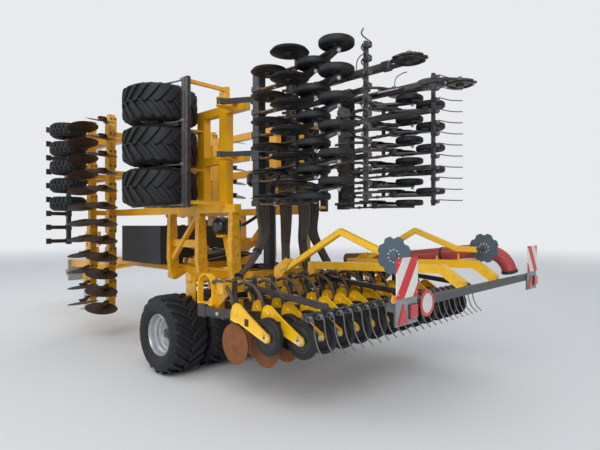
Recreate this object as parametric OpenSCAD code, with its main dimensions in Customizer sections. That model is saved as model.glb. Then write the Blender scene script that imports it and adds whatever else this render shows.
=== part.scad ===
/* [Overall] */
// Front face of the hitch, ahead of the packer axle
front_reach = 6300; // [5800:10:6800]
// Rear face of the lamps, behind the packer axle
rear_reach = 3130; // [3100:10:3300]
// Width of the centre section
centre_w = 2950; // [2850:10:2970]
// Working width of the whole drill
work_w = 6000; // [5800:10:6100]

/* [Packer tyres] */
// Tyre radius over the lug tips
tyre_r = 450; // [430:1:455]
// Tyre width
tyre_w = 450; // [400:1:460]
// Distance from one tyre to the next
tyre_pitch = 500; // [490:1:505]
// Rim flange radius
rim_r = 233; // [200:1:250]
// Packer shaft radius
shaft_r = 40; // [30:1:50]
// Wing packer shaft, ahead of the centre packer shaft
wing_packer_y = 450; // [420:5:600]
// Small front tyre radius
front_tyre_r = 280; // [250:1:290]
// Small front tyre width
front_tyre_w = 230; // [180:1:240]
// Small front tyre pitch
front_tyre_pitch = 300; // [290:1:310]
// Small front tyre shaft, ahead of the packer axle
front_tyre_y = 3350; // [3330:5:3450]
// Small front tyre shaft height in work
front_tyre_h = 400; // [380:5:420]

/* [Wing fold] */
// Fold pin, to the side of the middle
fold_x = 600; // [580:5:620]
// Fold pin height
fold_z = 1000; // [990:5:1020]
// Fold pin radius
fold_pin_r = 35; // [25:1:40]
// Wing arms along the machine
fold_arm_y = [1050, 350, -350];
// Thickness of each wing arm
fold_arm_t = 80; // [60:1:100]

/* [Frame tubes] */
// Main tube width
tube_w = 100; // [80:1:120]
// Main tube height
tube_h = 100; // [90:1:104]
// Gap between a packer tyre and the wing tubes above it
tube_over_tyre = 20; // [10:1:30]
// Longitudinal rails of the centre, to the side
rail_x = 420; // [380:5:450]
// Height of the rails' middle
rail_z = 1080; // [1060:5:1100]

/* [Disc gangs] */
// Disc radius
gang_disc_r = 225; // [200:1:230]
// Disc pitch
gang_pitch = 250; // [240:1:260]
// Gang beams, ahead of the packer axle
gang_y = [3000, 2300];
// Gang beam height in work
gang_h = 650; // [640:5:680]
// Disc centre height
gang_disc_h = 380; // [375:5:390]
// Disc centre behind its beam
gang_trail = 300; // [280:5:320]
// Gap from the middle of the machine to the inner end of a gang beam in work
gang_gap = 20; // [15:1:40]

/* [Coulters] */
// Row spacing
row_pitch = 125; // [120:1:125]
// Seed disc radius
seed_disc_r = 190; // [170:1:200]
// Press wheel radius
press_r = 165; // [150:1:170]
// Press wheel width
press_w = 48; // [40:1:50]
// Distance between the two coulter rows
row_step = 280; // [270:5:300]
// Toolbar square tube
bar_s = 100; // [80:1:100]
// Front toolbar height in transport
bar_z = 860; // [850:5:880]
// Front toolbar behind the packer axle
bar_y = -940; // [-960:5:-920]

/* [Seeding lift] */
// Lift arm pivot behind the packer axle
lift_y = -490; // [-510:5:-480]
// Lift arm pivot height
lift_z = 660; // [650:5:680]
// Lift arm width
lift_w = 60; // [50:1:70]

/* [Rear] */
// Longitudinal arms of the rear frame, to the side
rear_arm_x = [-150, 570];
// Rear arm square tube
rear_arm_s = 80; // [60:1:90]
// Warning board side
board_s = 282; // [250:1:300]
// Middle of each warning board, to the side
board_x = [-1250, 1340];
// Lower edge of the boards
board_z = 1190; // [1150:5:1250]

/* [Covers and mast] */
// Rear end of the equipment cover, ahead of the packer axle
cover_y = 1250; // [1220:10:1300]
// Length of the equipment cover
cover_len = 1200; // [800:10:1300]
// Width of the equipment cover
cover_w = 1400; // [1000:10:1500]
// Height of the equipment cover above the rails
cover_h = 560; // [400:10:600]
// Top of the hose mast
mast_top = 1560; // [1400:10:1650]
// Hose mast, ahead of the packer axle
mast_y = 5210; // [5100:10:5300]

/* [Air hose] */
// Outer radius of the red air hose
air_r = 80; // [60:1:90]

/* [Hidden] */
$fn = 48;
frame_yellow = [0.95, 0.65, 0.05];
slate = [0.09, 0.10, 0.12];
rubber = [0.05, 0.05, 0.055];
rust = [0.42, 0.20, 0.10];
silver = [0.72, 0.74, 0.75];
hose_red = [0.62, 0.16, 0.17];
// Running clearance of a shaft in its bearing, in mm of radius
fit = 0.08;
// Side gap between a moving piece and what it runs beside
gap = 6;
// The packer axle lies this far along Y from the origin, so that the box is centred
axle_y = (rear_reach - front_reach) / 2;
half_c = centre_w / 2;
half_w = work_w / 2;
// Gap between the centre and an unfolded wing
wing_gap = 25;
wing_in = half_c + wing_gap;
// Middle of the wing tubes' height in work
wing_tube_h = 2 * tyre_r + tube_over_tyre + tube_h / 2;
wing_mid = (wing_in + half_w) / 2;
// Level of a wing's long tubes and its cross tubes
wing_long_u = [wing_in + 600, half_w - 300];

// Places a shape that is measured from the packer axle
module at_axle() {
    translate([0, axle_y, 0]) children();
}

// Stands a wing shape up: x is the distance from the middle, z the height in work
module folded(side) {
    mirror([side < 0 ? 1 : 0, 0, 0])
        translate([fold_x, 0, fold_z]) rotate([0, -90, 0]) translate([-fold_x, 0, -fold_z])
            children();
}

// Box from its lowest to its highest corner
module box(a, b) {
    translate(a) cube([b[0] - a[0], b[1] - a[1], b[2] - a[2]]);
}

// Cylinder along X, from x1 to x2
module rod_x(x1, x2, y, z, r) {
    translate([x1, y, z]) rotate([0, 90, 0]) cylinder(h = x2 - x1, r = r);
}

// Cylinder along Y, from y1 to y2
module rod_y(y1, y2, x, z, r) {
    translate([x, y2, z]) rotate([90, 0, 0]) cylinder(h = y2 - y1, r = r);
}

// Plate of thickness t, drawn in Y and Z, its left face at x
module plate_yz(x, t, pts) {
    translate([x, 0, 0]) rotate([90, 0, 90]) linear_extrude(t) polygon(pts);
}

// Plate of thickness t, drawn in X and Z, its rear face at y
module plate_xz(y, t, pts) {
    translate([0, y + t, 0]) rotate([90, 0, 0]) linear_extrude(t) polygon(pts);
}

// Square bar of side s between two points of the Y and Z plane, from x - s/2 to x + s/2
module bar_yz(x, a, b, s) {
    dy = b[0] - a[0];
    dz = b[1] - a[1];
    translate([x, a[0], a[1]]) rotate([atan2(dz, dy), 0, 0])
        translate([-s / 2, 0, -s / 2]) cube([s, norm([dy, dz]), s]);
}

// One packer tyre with its rim, hub and shaft seat, middle at x
module packer_wheel(x) {
    side = tyre_w / 2;
    // columns: radius, distance from the tyre's middle
    outline = [[rim_r, side - 60], [rim_r + 20, side - 20], [tyre_r - 90, side],
        [tyre_r - 25, side - 15], [tyre_r, side - 50], [tyre_r, 50 - side],
        [tyre_r - 25, 15 - side], [tyre_r - 90, -side], [rim_r + 20, 20 - side],
        [rim_r, 60 - side], [rim_r - 16, 60 - side], [rim_r - 16, -40],
        [shaft_r - 10, -20], [shaft_r - 10, 20], [rim_r - 16, 40], [rim_r - 16, side - 60]];
    translate([x, 0, 0]) rotate([0, 90, 0]) rotate_extrude($fn = 64) polygon(outline);
}

// Row of packer tyres on one shaft, from the bearing at x1 to the one at x2
module packer_row(xs, x1, x2, y, z) {
    translate([0, y, z]) {
        for (x = xs) packer_wheel(x);
        rod_x(x1, x2, 0, 0, shaft_r);
    }
}

// Hanger plate of a packer shaft, its bearing bored for the shaft
module hanger(x, t, y, z, top, half) {
    difference() {
        plate_yz(x - t / 2, t, [[y - 60, z - 60], [y + 60, z - 60], [y + half, top], [y - half, top]]);
        rod_x(x - t, x + t, y, z, shaft_r + fit);
    }
}

// Fold bracket: two plates beside each wing arm, and the pin through them
module fold_brackets(side) {
    plate_t = 25;
    mirror([side < 0 ? 1 : 0, 0, 0]) for (y = fold_arm_y) {
        for (s = [-1, 1])
            translate([0, s < 0 ? y - fold_arm_t / 2 - gap - plate_t : y + fold_arm_t / 2 + gap, 0])
                plate_xz(0, plate_t, [[rail_x, rail_z - tube_h / 2], [rail_x, rail_z + tube_h / 2],
                    [fold_x + 20, fold_z + 60], [fold_x + 60, fold_z + 20],
                    [fold_x + 60, fold_z - 40], [fold_x, fold_z - 60]]);
        rod_y(y - fold_arm_t / 2 - gap - plate_t - 15, y + fold_arm_t / 2 + gap + plate_t + 15,
            fold_x, fold_z, fold_pin_r);
    }
}

// Cylinder pins of the wing fold, columns: distance along Y, side of the machine
cyl_y = [600, 800];
cyl_pin = [-650, 1220];
cyl_pin_r = 25;
// Crank pin on the wing in work, to be joined by the cylinder
crank = [950, 1350];

// Cross tubes of the centre frame
centre_cross_y = [fold_arm_y[0] + 150, 0, fold_arm_y[2] - 110, 2000, 3150];

module centre_frame() {
    color(frame_yellow) at_axle() {
        for (s = [-1, 1]) {
            box([s * rail_x - tube_w / 2, lift_y - 20, rail_z - tube_h / 2],
                [s * rail_x + tube_w / 2, 3200, rail_z + tube_h / 2]);
            fold_brackets(s);
        }
        for (y = centre_cross_y)
            box([-rail_x, y - 50, rail_z - tube_h / 2], [rail_x, y + 50, rail_z + tube_h / 2]);
        // outriggers that carry the outer shaft hangers
        box([-1040, -60, rail_z - 50], [1040, 60, rail_z + 40]);
        for (x = [-tyre_pitch * 2, -tyre_pitch, 0, tyre_pitch, tyre_pitch * 2])
            hanger(x, 24, 0, tyre_r, rail_z, 100);
        // ears of the seeding lift
        for (s = [-1, 1]) lift_ears(s * rail_x, rail_z - tube_h / 2);
        cylinder_posts();
    }
}

// Two ears that hold one lift arm, and their pin
module lift_ears(x, top) {
    for (s = [-1, 1])
        plate_yz(s < 0 ? x - lift_w / 2 - gap - 15 : x + lift_w / 2 + gap, 15,
            [[lift_y - 20, top + 5], [lift_y + 90, top + 5], [lift_y + 45, lift_z],
            [lift_y + 20, lift_z - 40], [lift_y - 30, lift_z - 40], [lift_y - 45, lift_z]]);
    rod_x(x - lift_w / 2 - gap - 20, x + lift_w / 2 + gap + 20, lift_y, lift_z, 20);
}

// Posts on the rails with the pins of the fold cylinders, one for each side
module cylinder_posts() {
    for (k = [0, 1])
        mirror([k, 0, 0]) {
            y = cyl_y[k];
            for (s = [-1, 1])
                translate([0, s < 0 ? y - 50 - gap - 15 : y + 50 + gap, 0])
                    plate_xz(0, 15, [[-rail_x + 50, rail_z + 30], [-rail_x - 60, rail_z + 30],
                        [cyl_pin[0] - 45, cyl_pin[1] - 20], [cyl_pin[0] - 30, cyl_pin[1] + 40],
                        [cyl_pin[0] + 40, cyl_pin[1] + 40], [-rail_x + 50, rail_z + 120]]);
            rod_y(y - 50 - gap - 20, y + 50 + gap + 20, cyl_pin[0], cyl_pin[1], cyl_pin_r);
        }
}

// Drawbar: two converging beams, the tongue, the hose mast and the sleeve of the jack
drawbar_top = 930;
tongue_y = 4600;
jack_x = -300;
jack_y = 4900;
jack_r = 45;
module drawbar() {
    color(frame_yellow) at_axle() {
        for (s = [-1, 1])
            hull() {
                box([s * rail_x - 50, 3200, rail_z - 60], [s * rail_x + 50, 3210, rail_z + 60]);
                box([s * 90 - 50, tongue_y, drawbar_top - 150], [s * 90 + 50, tongue_y + 10, drawbar_top]);
            }
        box([-140, tongue_y, drawbar_top - 150], [140, front_reach - 160, drawbar_top]);
        box([-260, 3700, 930], [260, 3800, 1080]);
        // mast that holds the supply hoses up
        box([-180, mast_y - 30, drawbar_top], [-120, mast_y + 30, mast_top]);
        box([-180, mast_y - 30, mast_top - 60], [120, mast_y + 30, mast_top]);
        box([60, mast_y - 30, mast_top - 300], [120, mast_y + 30, mast_top]);
        box([-180, mast_y - 510, mast_top - 360], [-120, mast_y + 30, mast_top - 300]);
        box([-180, mast_y - 510, drawbar_top], [-120, mast_y - 450, mast_top - 300]);
        difference() {
            union() {
                translate([jack_x, jack_y, 560]) cylinder(h = 300, r = jack_r + 15);
                box([jack_x, jack_y - 50, 780], [-130, jack_y + 50, 860]);
            }
            translate([jack_x, jack_y, 500]) cylinder(h = 400, r = jack_r + 0.5);
        }
    }
}

// Hitch head: the bored lugs for the lower link pins, the grey plate and its yellow bracket
hitch_pin_r = 18.5;
hitch_z = 640;
module hitch_head() {
    color("dimgray") at_axle() difference() {
        union() {
            box([-200, front_reach - 160, 460], [200, front_reach - 130, 930]);
            for (x = [-200, -120, 100, 180])
                plate_yz(x, 20, [[front_reach - 130, hitch_z - 70], [front_reach - 40, hitch_z - 70],
                    [front_reach, hitch_z - 30], [front_reach, hitch_z + 30],
                    [front_reach - 40, hitch_z + 70], [front_reach - 130, hitch_z + 70]]);
        }
        rod_x(-250, 250, front_reach - 60, hitch_z, hitch_pin_r);
    }
}

// Leg of the parking jack with its foot on the ground
module jack_leg() {
    color("silver") at_axle() {
        translate([jack_x, jack_y, 12]) cylinder(h = 830, r = jack_r);
        translate([jack_x, jack_y, 0]) cylinder(h = 14, r = 110);
    }
}

// Closed box of the oil and valve equipment, behind dark side sheets
module equipment_box() {
    color([0.2, 0.21, 0.23]) at_axle()
        box([-cover_w / 2, cover_y, rail_z + tube_h / 2],
            [cover_w / 2, cover_y + cover_len, rail_z + tube_h / 2 + cover_h]);
}

// Discs of a gang, each hung under its beam: arm, hub and tilted disc
module gang_disc_set(xs) {
    top = gang_h - tube_w / 2;
    for (k = [0, 1]) for (x = xs) {
        y = gang_y[k];
        yd = y - gang_trail;
        plate_yz(x - 12, 24, [[y - 50, top], [y + 50, top], [y + 10, top - 70],
            [yd + 30, gang_disc_h - 45], [yd - 40, gang_disc_h - 45], [yd - 40, gang_disc_h + 40]]);
        translate([x, yd, gang_disc_h]) rotate([0, 90, k == 0 ? 15 : -15]) {
            translate([0, 0, -50]) cylinder(h = 62, r = 45);
            translate([0, 0, -50]) cylinder(h = 6, r = gang_disc_r);
        }
    }
}

function pitch_row(first, last, step) = [for (x = [first : step : last + 0.1]) x];
wing_gang_x = pitch_row(half_w - gang_pitch * 11.5, half_w - gang_pitch / 2, gang_pitch);

module gang_beam(x1, x2, y) {
    box([x1, y - tube_w / 2, gang_h - tube_w / 2], [x2, y + tube_w / 2, gang_h + tube_w / 2]);
}

module packer_left() {
    color(rubber) at_axle()
        packer_row([-tyre_pitch * 2.5, -tyre_pitch * 1.5, -tyre_pitch * 0.5],
            -tyre_pitch * 2.5 - 40, -5, 0, tyre_r);
}

module packer_right() {
    color(rubber) at_axle()
        packer_row([tyre_pitch * 0.5, tyre_pitch * 1.5, tyre_pitch * 2.5],
            5, tyre_pitch * 2.5 + 40, 0, tyre_r);
}

// Crank of a wing in work: two plates on the torsion tube, the cylinder's eye between them
module crank_plates(y) {
    for (s = [-1, 1])
        translate([0, s < 0 ? y - 30 - gap - 15 : y + 30 + gap, 0])
            plate_xz(0, 15, [[1000, 1060], [1100, 1060], [1010, crank[1] + 20],
                [crank[0] + 20, crank[1] + 45], [crank[0] - 30, crank[1] + 40],
                [crank[0] - 40, crank[1] - 20]]);
}

// Arms of a wing on the fold pins, drawn in work and stood up, with their torsion tube and brace
module wing_arms(side) {
    h1 = wing_tube_h - tube_h / 2;
    h2 = wing_tube_h + tube_h / 2;
    seat = wing_in - tube_w / 2;
    color(frame_yellow) at_axle() folded(side) {
        for (y = fold_arm_y)
            difference() {
                union() {
                    plate_xz(y - fold_arm_t / 2, fold_arm_t, [[fold_x - 50, fold_z + 30],
                        [fold_x, fold_z + 62], [seat, h2], [seat, h1],
                        [fold_x + 250, 905], [fold_x, fold_z - 62], [fold_x - 50, fold_z - 30]]);
                    rod_y(y - fold_arm_t / 2, y + fold_arm_t / 2, fold_x, fold_z, 65);
                }
                rod_y(y - fold_arm_t, y + fold_arm_t, fold_x, fold_z, fold_pin_r + fit);
            }
        box([1000, fold_arm_y[1], 960], [1100, fold_arm_y[0], 1060]);
        crank_plates(side < 0 ? cyl_y[1] : cyl_y[0]);
        translate([0, 0, wing_tube_h]) linear_extrude(60, center = true)
            polygon([[800, fold_arm_y[0] - 50], [860, fold_arm_y[0] - 20],
                [seat, fold_arm_y[1] + 60], [seat, fold_arm_y[1]]]);
    }
}

// Yellow frame of a wing: long tubes and cross tubes, hangers, gang beams and ears
module wing_frame(side) {
    h1 = wing_tube_h - tube_h / 2;
    h2 = wing_tube_h + tube_h / 2;
    color(frame_yellow) at_axle() folded(side) {
        box([wing_in - tube_w / 2, fold_arm_y[2] - 80, h1],
            [wing_in + tube_w / 2, gang_y[0] + tube_w / 2, h2]);
        for (u = wing_long_u)
            box([u - tube_w / 2, lift_y - 110, h1], [u + tube_w / 2, level_y + 40, h2]);
        for (y = [270, -200, 1700])
            box([wing_in, y - 75, h1], [wing_long_u[1] + tube_w / 2, y + 75, h2]);
        // hangers of the packer shaft, of the gang beams and of the lift arms
        for (u = [2000, 2500])
            hanger(u, 24, wing_packer_y, tyre_r, wing_tube_h, 240);
        for (y = gang_y) {
            gang_beam(gang_gap, half_w, y);
            for (u = concat([wing_in], wing_long_u))
                box([u - 40, y - 40, gang_h + tube_w / 2], [u + 40, y + 40, h1]);
        }
        for (u = wing_long_u) {
            hanger_front(u);
            lift_ears(u, h1);
        }
        for (u = [1560, 2940])
            box([u - 20, -255, 430], [u + 20, -215, h1 + 60]);
        box([wing_in, -260, h1], [half_w - 20, -125, h1 + 60]);
    }
}

// Hanger of the small tyres' shaft under a long tube
module hanger_front(u) {
    difference() {
        plate_yz(u - 20, 40, [[front_tyre_y - 50, front_tyre_h - 50],
            [front_tyre_y + 50, front_tyre_h - 50], [front_tyre_y + 90, wing_tube_h],
            [front_tyre_y - 90, wing_tube_h]]);
        rod_x(u - 60, u + 60, front_tyre_y, front_tyre_h, 25 + fit);
    }
}

module wing_packer(side) {
    color(rubber) at_axle() folded(side)
        packer_row([wing_mid - tyre_pitch, wing_mid, wing_mid + tyre_pitch],
            wing_mid - tyre_pitch, wing_mid + tyre_pitch, wing_packer_y, tyre_r);
}

module gang_discs_wing(side) {
    color(rust) at_axle() folded(side) gang_disc_set(wing_gang_x);
}

// Small tyre, middle at x
module front_wheel(x) {
    side = front_tyre_w / 2;
    outline = [[24, -40], [100, -30], [100, -side + 20], [150, -side], [front_tyre_r - 40, -side],
        [front_tyre_r, -side + 40], [front_tyre_r, side - 40], [front_tyre_r - 40, side],
        [150, side], [100, side - 20], [100, 30], [24, 40]];
    translate([x, 0, 0]) rotate([0, 90, 0]) rotate_extrude() polygon(outline);
}

module front_tyres(side) {
    first = wing_mid - front_tyre_pitch * 2;
    color(rubber) at_axle() folded(side) translate([0, front_tyre_y, front_tyre_h]) {
        for (k = [0 : 4]) front_wheel(first + k * front_tyre_pitch);
        rod_x(first, first + 4 * front_tyre_pitch, 0, 0, 25);
    }
}

// Levelling bar with its paddles, and the scraper beam behind the packer
paddle_pitch = 240;
level_y = front_tyre_y + front_tyre_r + 270;
level_h = 600;
module levelling_bar(side) {
    color(slate) at_axle() folded(side) {
        box([960, level_y - 35, level_h - 35], [half_w - 20, level_y + 35, level_h + 35]);
        for (u = wing_long_u)
            box([u - 35, level_y - 35, level_h + 35], [u + 35, level_y + 35, wing_tube_h - tube_h / 2]);
        for (k = [0 : 8])
            translate([1020 + k * paddle_pitch, level_y, level_h]) {
                box([-12, 35, -40], [12, 50, 50]);
                plate_yz(-48, 96, [[35, 40], [50, 40], [5, -370], [-10, -370]]);
            }
        for (y = [-235, -170])
            box([wing_in, y - 28, 375], [half_w - 10, y + 28, 430]);
        for (u = [wing_in + 60, wing_mid, half_w - 70])
            box([u - 20, -235, 385], [u + 20, -170, 420]);
    }
}

// Lift arms between the frame's ears and the toolbar's ears
lift_top_y = bar_y + bar_s / 2 + 35;
module lift_arm(x) {
    difference() {
        union() {
            bar_yz(x, [lift_y, lift_z], [lift_top_y, bar_z], lift_w - 8);
            for (p = [[lift_y, lift_z], [lift_top_y, bar_z]])
                rod_x(x - lift_w / 2, x + lift_w / 2, p[0], p[1], 34);
        }
        for (p = [[lift_y, lift_z], [lift_top_y, bar_z]])
            rod_x(x - lift_w, x + lift_w, p[0], p[1], 20 + fit);
    }
}

module lift_arms_centre() {
    color(slate) at_axle() for (s = [-1, 1]) lift_arm(s * rail_x);
}

module lift_arms_wing(side) {
    color(slate) at_axle() folded(side) for (u = wing_long_u) lift_arm(u);
}

// Two toolbars joined by plates, with the lift arms' ears at xs; first and last are its end coulters
rear_bar_y = bar_y - row_step;
rear_bar_z = bar_z + 240;
// First coulter of the centre and of a wing, from the middle of the machine
centre_row = -row_pitch * 11.5;
wing_row = wing_mid - row_pitch * 5.5;
module seed_bars(x1, x2, xs, first, last) {
    half = bar_s / 2;
    box([x1, bar_y - half, bar_z - half], [x2, bar_y + half, bar_z + half]);
    box([x1, rear_bar_y - half, rear_bar_z - half], [x2, rear_bar_y + half, rear_bar_z + half]);
    for (x = concat([first + 35, last + 14], [for (k = xs) k - 10]))
        plate_yz(x, 20, [[bar_y + half, bar_z - half], [bar_y - half, bar_z - half],
            [rear_bar_y - half, rear_bar_z - half], [rear_bar_y - half, rear_bar_z + half],
            [rear_bar_y + half, rear_bar_z + half], [bar_y + half, bar_z + half]]);
    for (x = xs) {
        for (s = [-1, 1])
            plate_yz(s < 0 ? x - lift_w / 2 - gap - 15 : x + lift_w / 2 + gap, 15,
                [[bar_y + half - 5, bar_z - 45], [lift_top_y + 30, bar_z - 25],
                [lift_top_y + 30, bar_z + 25], [bar_y + half - 5, bar_z + 45]]);
        rod_x(x - lift_w / 2 - gap - 20, x + lift_w / 2 + gap + 20, lift_top_y, bar_z, 20);
    }
}

module seed_bars_centre() {
    color(frame_yellow) at_axle() seed_bars(-half_c, half_c, [-rail_x, rail_x], centre_row, -centre_row);
}

module seed_bars_wing(side) {
    color(slate) at_axle() folded(side) {
        seed_bars(wing_in + 15, half_w - 15, wing_long_u, wing_row, wing_row + row_pitch * 11);
        bout_pin();
    }
}

// Coulter: arm with its disc leg, seed disc and press wheel, in the plane at x, dy behind the front row
disc_y = -1400;
disc_z = 600;
press_y = -1860;
press_z = 740;
module coulter(x, rear) {
    front = bar_y - bar_s / 2;
    translate([x, rear ? -row_step : 0, 0]) {
        plate_yz(-54, 26, [[front, 905], [front, 815], [-1200, 800], [-1350, 700], [-1365, disc_z],
            [-1400, 565], [-1435, disc_z], [-1440, 720], [-1500, 800], [-1640, 760],
            [press_y - 30, 700], [press_y - 65, press_z], [press_y - 40, 775],
            [-1660, 885], [-1480, 985], [-1380, 990], [-1200, 905]]);
        if (rear)
            plate_yz(-54, 26, [[front, 905], [front, rear_bar_z + 50], [front - 40, rear_bar_z + 50],
                [front - 60, 905]]);
        rod_x(-54, 20, disc_y, disc_z, 38);
        rod_x(-5, 3, disc_y, disc_z, seed_disc_r);
        rod_x(-54, press_w / 2 + 6, press_y, press_z, 14);
        translate([0, press_y, press_z]) rotate([0, 90, 0]) rotate_extrude()
            polygon([[10, -14], [press_r - 40, -14], [press_r - 30, -press_w / 2],
                [press_r, -press_w / 2 + 10], [press_r, press_w / 2 - 10],
                [press_r - 30, press_w / 2], [press_r - 40, 14], [10, 14]]);
    }
}

module coulters(first, count) {
    for (k = [0 : count - 1]) coulter(first + k * row_pitch, k % 2 == 1);
}

module coulters_centre() {
    color(slate) at_axle() coulters(centre_row, 24);
}

module coulters_wing(side) {
    color(slate) at_axle() folded(side) coulters(wing_row, 12);
}

// Round rod of the Y and Z plane between two points
module rod_yz(x, a, b, r) {
    translate([x, a[0], a[1]]) rotate([90 - atan2(b[1] - a[1], a[0] - b[0]), 0, 0])
        cylinder(h = norm(b - a), r = r, $fn = 16);
}

// Harrow: beam, its carrying arms at xs, and a coiled tine behind each row
harrow_y = -2300;
harrow_z = 970;
module harrow(x1, x2, xs, first, count) {
    box([x1, harrow_y - 25, harrow_z - 25], [x2, harrow_y + 25, harrow_z + 25]);
    difference() {
        for (x = xs)
            bar_yz(x, [harrow_y, harrow_z + 50], [rear_bar_y, rear_bar_z - 5], 50);
        box([x1, rear_bar_y - bar_s / 2, 500], [x2, 0, 1500]);
    }
    for (k = [0 : count - 1])
        translate([first + k * row_pitch, 0, 0]) {
            rod_x(-25, 25, harrow_y - 45, harrow_z - 10, 22);
            rod_yz(15, [harrow_y - 60, harrow_z - 10], [harrow_y - 95, harrow_z - 160], 6);
            rod_yz(15, [harrow_y - 94, harrow_z - 155], [harrow_y - 200, harrow_z - 305], 6);
        }
}

module harrow_centre() {
    color("gray") at_axle()
        harrow(-half_c + 10, half_c - 10, [-1180, 0, 1200], centre_row, 24);
}

module harrow_wing(side) {
    color("gray") at_axle() folded(side)
        harrow(wing_in + 15, half_w - 15, [1940, 2560], wing_row, 12);
}

// Point t of the way from b to c on a smooth curve through a, b, c and d
function smooth(a, b, c, d, t) = 0.5 * (2 * b + (c - a) * t + (2 * a - 5 * b + 4 * c - d) * t * t
    + (3 * b - 3 * c + d - a) * t * t * t);
function pick(p, i) = p[max(0, min(len(p) - 1, i))];
function curve(p, n) = [for (i = [0 : len(p) - 2]) for (k = [0 : n - (i == len(p) - 2 ? 0 : 1)])
    smooth(pick(p, i - 1), p[i], p[i + 1], pick(p, i + 2), k / n)];
function unit(v) = v / norm(v);
function heading(p, i) = unit(pick(p, i + 1) - pick(p, i - 1));

// Round hose of radius r along the points of path, with n sides; side is never along the path
module hose(path, r, n, side) {
    count = len(path);
    points = [for (i = [0 : count - 1])
        let (t = heading(path, i), a = unit(cross(t, side)), b = cross(t, a))
            for (k = [0 : n - 1]) path[i] + r * (cos(360 * k / n) * a + sin(360 * k / n) * b)];
    sides = [for (i = [0 : count - 2]) for (k = [0 : n - 1])
        [i * n + k, i * n + (k + 1) % n, (i + 1) * n + (k + 1) % n, (i + 1) * n + k]];
    polyhedron(points, concat(sides, [[for (k = [n - 1 : -1 : 0]) k]],
        [[for (k = [0 : n - 1]) (count - 1) * n + k]]));
}

// Red air hose on its saddles, from the front end to the elbow at the rear right
air_path = [[930, -840, 1235], [945, -1050, 1245], [955, -1250, 1255], [960, -1600, 1285],
    [965, -2000, 1330], [970, -2350, 1375], [990, -2600, 1405], [1040, -2770, 1400],
    [1110, -2865, 1340], [1160, -2910, 1250], [1180, -2925, 1170]];
module air_hose() {
    color(hose_red) at_axle() hose(curve(air_path, 2), air_r, 16, [1, 0, 0]);
}

// Saddles that carry the air hose beside the right rear arm, columns: y, underside of the hose
saddles = [for (k = [3 : 6]) [air_path[k][1], air_path[k][2] - air_r - 0.9]];
module saddle_arms() {
    side = rear_arm_x[1] + rear_arm_s / 2;
    for (s = saddles) {
        box([side - 5, s[0] - 6, s[1] - 30], [1030, s[0] + 6, s[1]]);
        box([side - 5, s[0] - 6, s[1] - 30], [side + 12, s[0] + 6, s[1] + 70]);
    }
}

// Rear frame: uprights on the rear toolbar and long arms with their ends bent down
beam_face_y = 105 - rear_reach;
rear_arm_y = beam_face_y + 245;
rear_arm_top = 1340;
module rear_frame() {
    top = rear_bar_z + bar_s / 2;
    color(frame_yellow) at_axle() for (x = rear_arm_x) {
        box([x - 50, rear_bar_y - 50, top], [x + 50, rear_bar_y + 50, top + 130]);
        plate_yz(x - rear_arm_s / 2, rear_arm_s, [[rear_bar_y + 20, 1200], [rear_bar_y + 20, 1280],
            [rear_arm_y - 38, rear_arm_top], [beam_face_y, 1204], [beam_face_y, 1096],
            [rear_arm_y - 9, rear_arm_top - 82]]);
        if (x > 0) saddle_arms();
    }
}

// Grey cross beam of the lamps with the posts of the boards and the lamp plates
lamp_y = beam_face_y - 60;
sign_x = -970;
sign_z = 1120;
module lamp_beam() {
    color("gray") at_axle() {
        box([board_x[0] - 140, lamp_y, 1100], [board_x[1] + 140, beam_face_y, 1160]);
        for (x = board_x) {
            box([x - 20, lamp_y - 15, 1100], [x + 20, lamp_y, board_z + board_s - 30]);
            box([x - board_s / 2, lamp_y - 15, board_z - 190], [x + board_s / 2, lamp_y, board_z - 8]);
        }
        box([sign_x - 20, lamp_y - 15, 1050], [sign_x + 20, lamp_y, 1180]);
    }
}

// Striped boards, the round blank sign, the lamps and the reflectors
module warning_boards() {
    face = lamp_y - 15;
    color("white") at_axle() {
        for (x = board_x) {
            box([x - board_s / 2, face - 10, board_z], [x + board_s / 2, face, board_z + board_s]);
            rod_y(-rear_reach, face, x + (x < 0 ? 70 : -70), board_z - 100, 45);
            plate_xz(-rear_reach + 15, face + rear_reach - 15, [[x - 120, board_z - 180],
                [x + 10, board_z - 180], [x - 55, board_z - 30]]);
        }
        rod_y(face - 10, face, sign_x, sign_z, 100);
        rod_y(face - 10, face, board_x[0] - board_s / 2 - 30, board_z + 5, 28);
        box([board_x[0] - board_s / 2 - 40, face, board_z - 5], [board_x[0] - 20, face + 8, board_z + 15]);
    }
}

// Seed tower: foot, riser, turned head and the cap
tower_y = -300;
head_z = 2200;
module seed_tower() {
    color(slate) at_axle() translate([0, tower_y, 0]) {
        translate([0, 0, rail_z + 50]) cylinder(h = 40, r = 150);
        translate([0, 0, rail_z + 50]) cylinder(h = head_z - rail_z - 50, r = 80);
        translate([0, 0, head_z]) rotate_extrude()
            polygon([[0, 0], [260, 0], [300, 40], [300, 150], [260, 190], [0, 260]]);
        box([-300, 150, rail_z + 50], [300, 210, rail_z + 110]);
        box([-30, 0, rail_z + 50], [30, 200, rail_z + 110]);
    }
}

// Point at the height of the head's outlets, at an angle and distance from the tower's middle
function outlet(a, r) = [r * cos(a), tower_y + r * sin(a), head_z + 90];

// First points of a bundle that leaves the head at an angle
function leaving(a) = [outlet(a, 300.3), outlet(a, 340), outlet(a, 380)];

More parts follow.
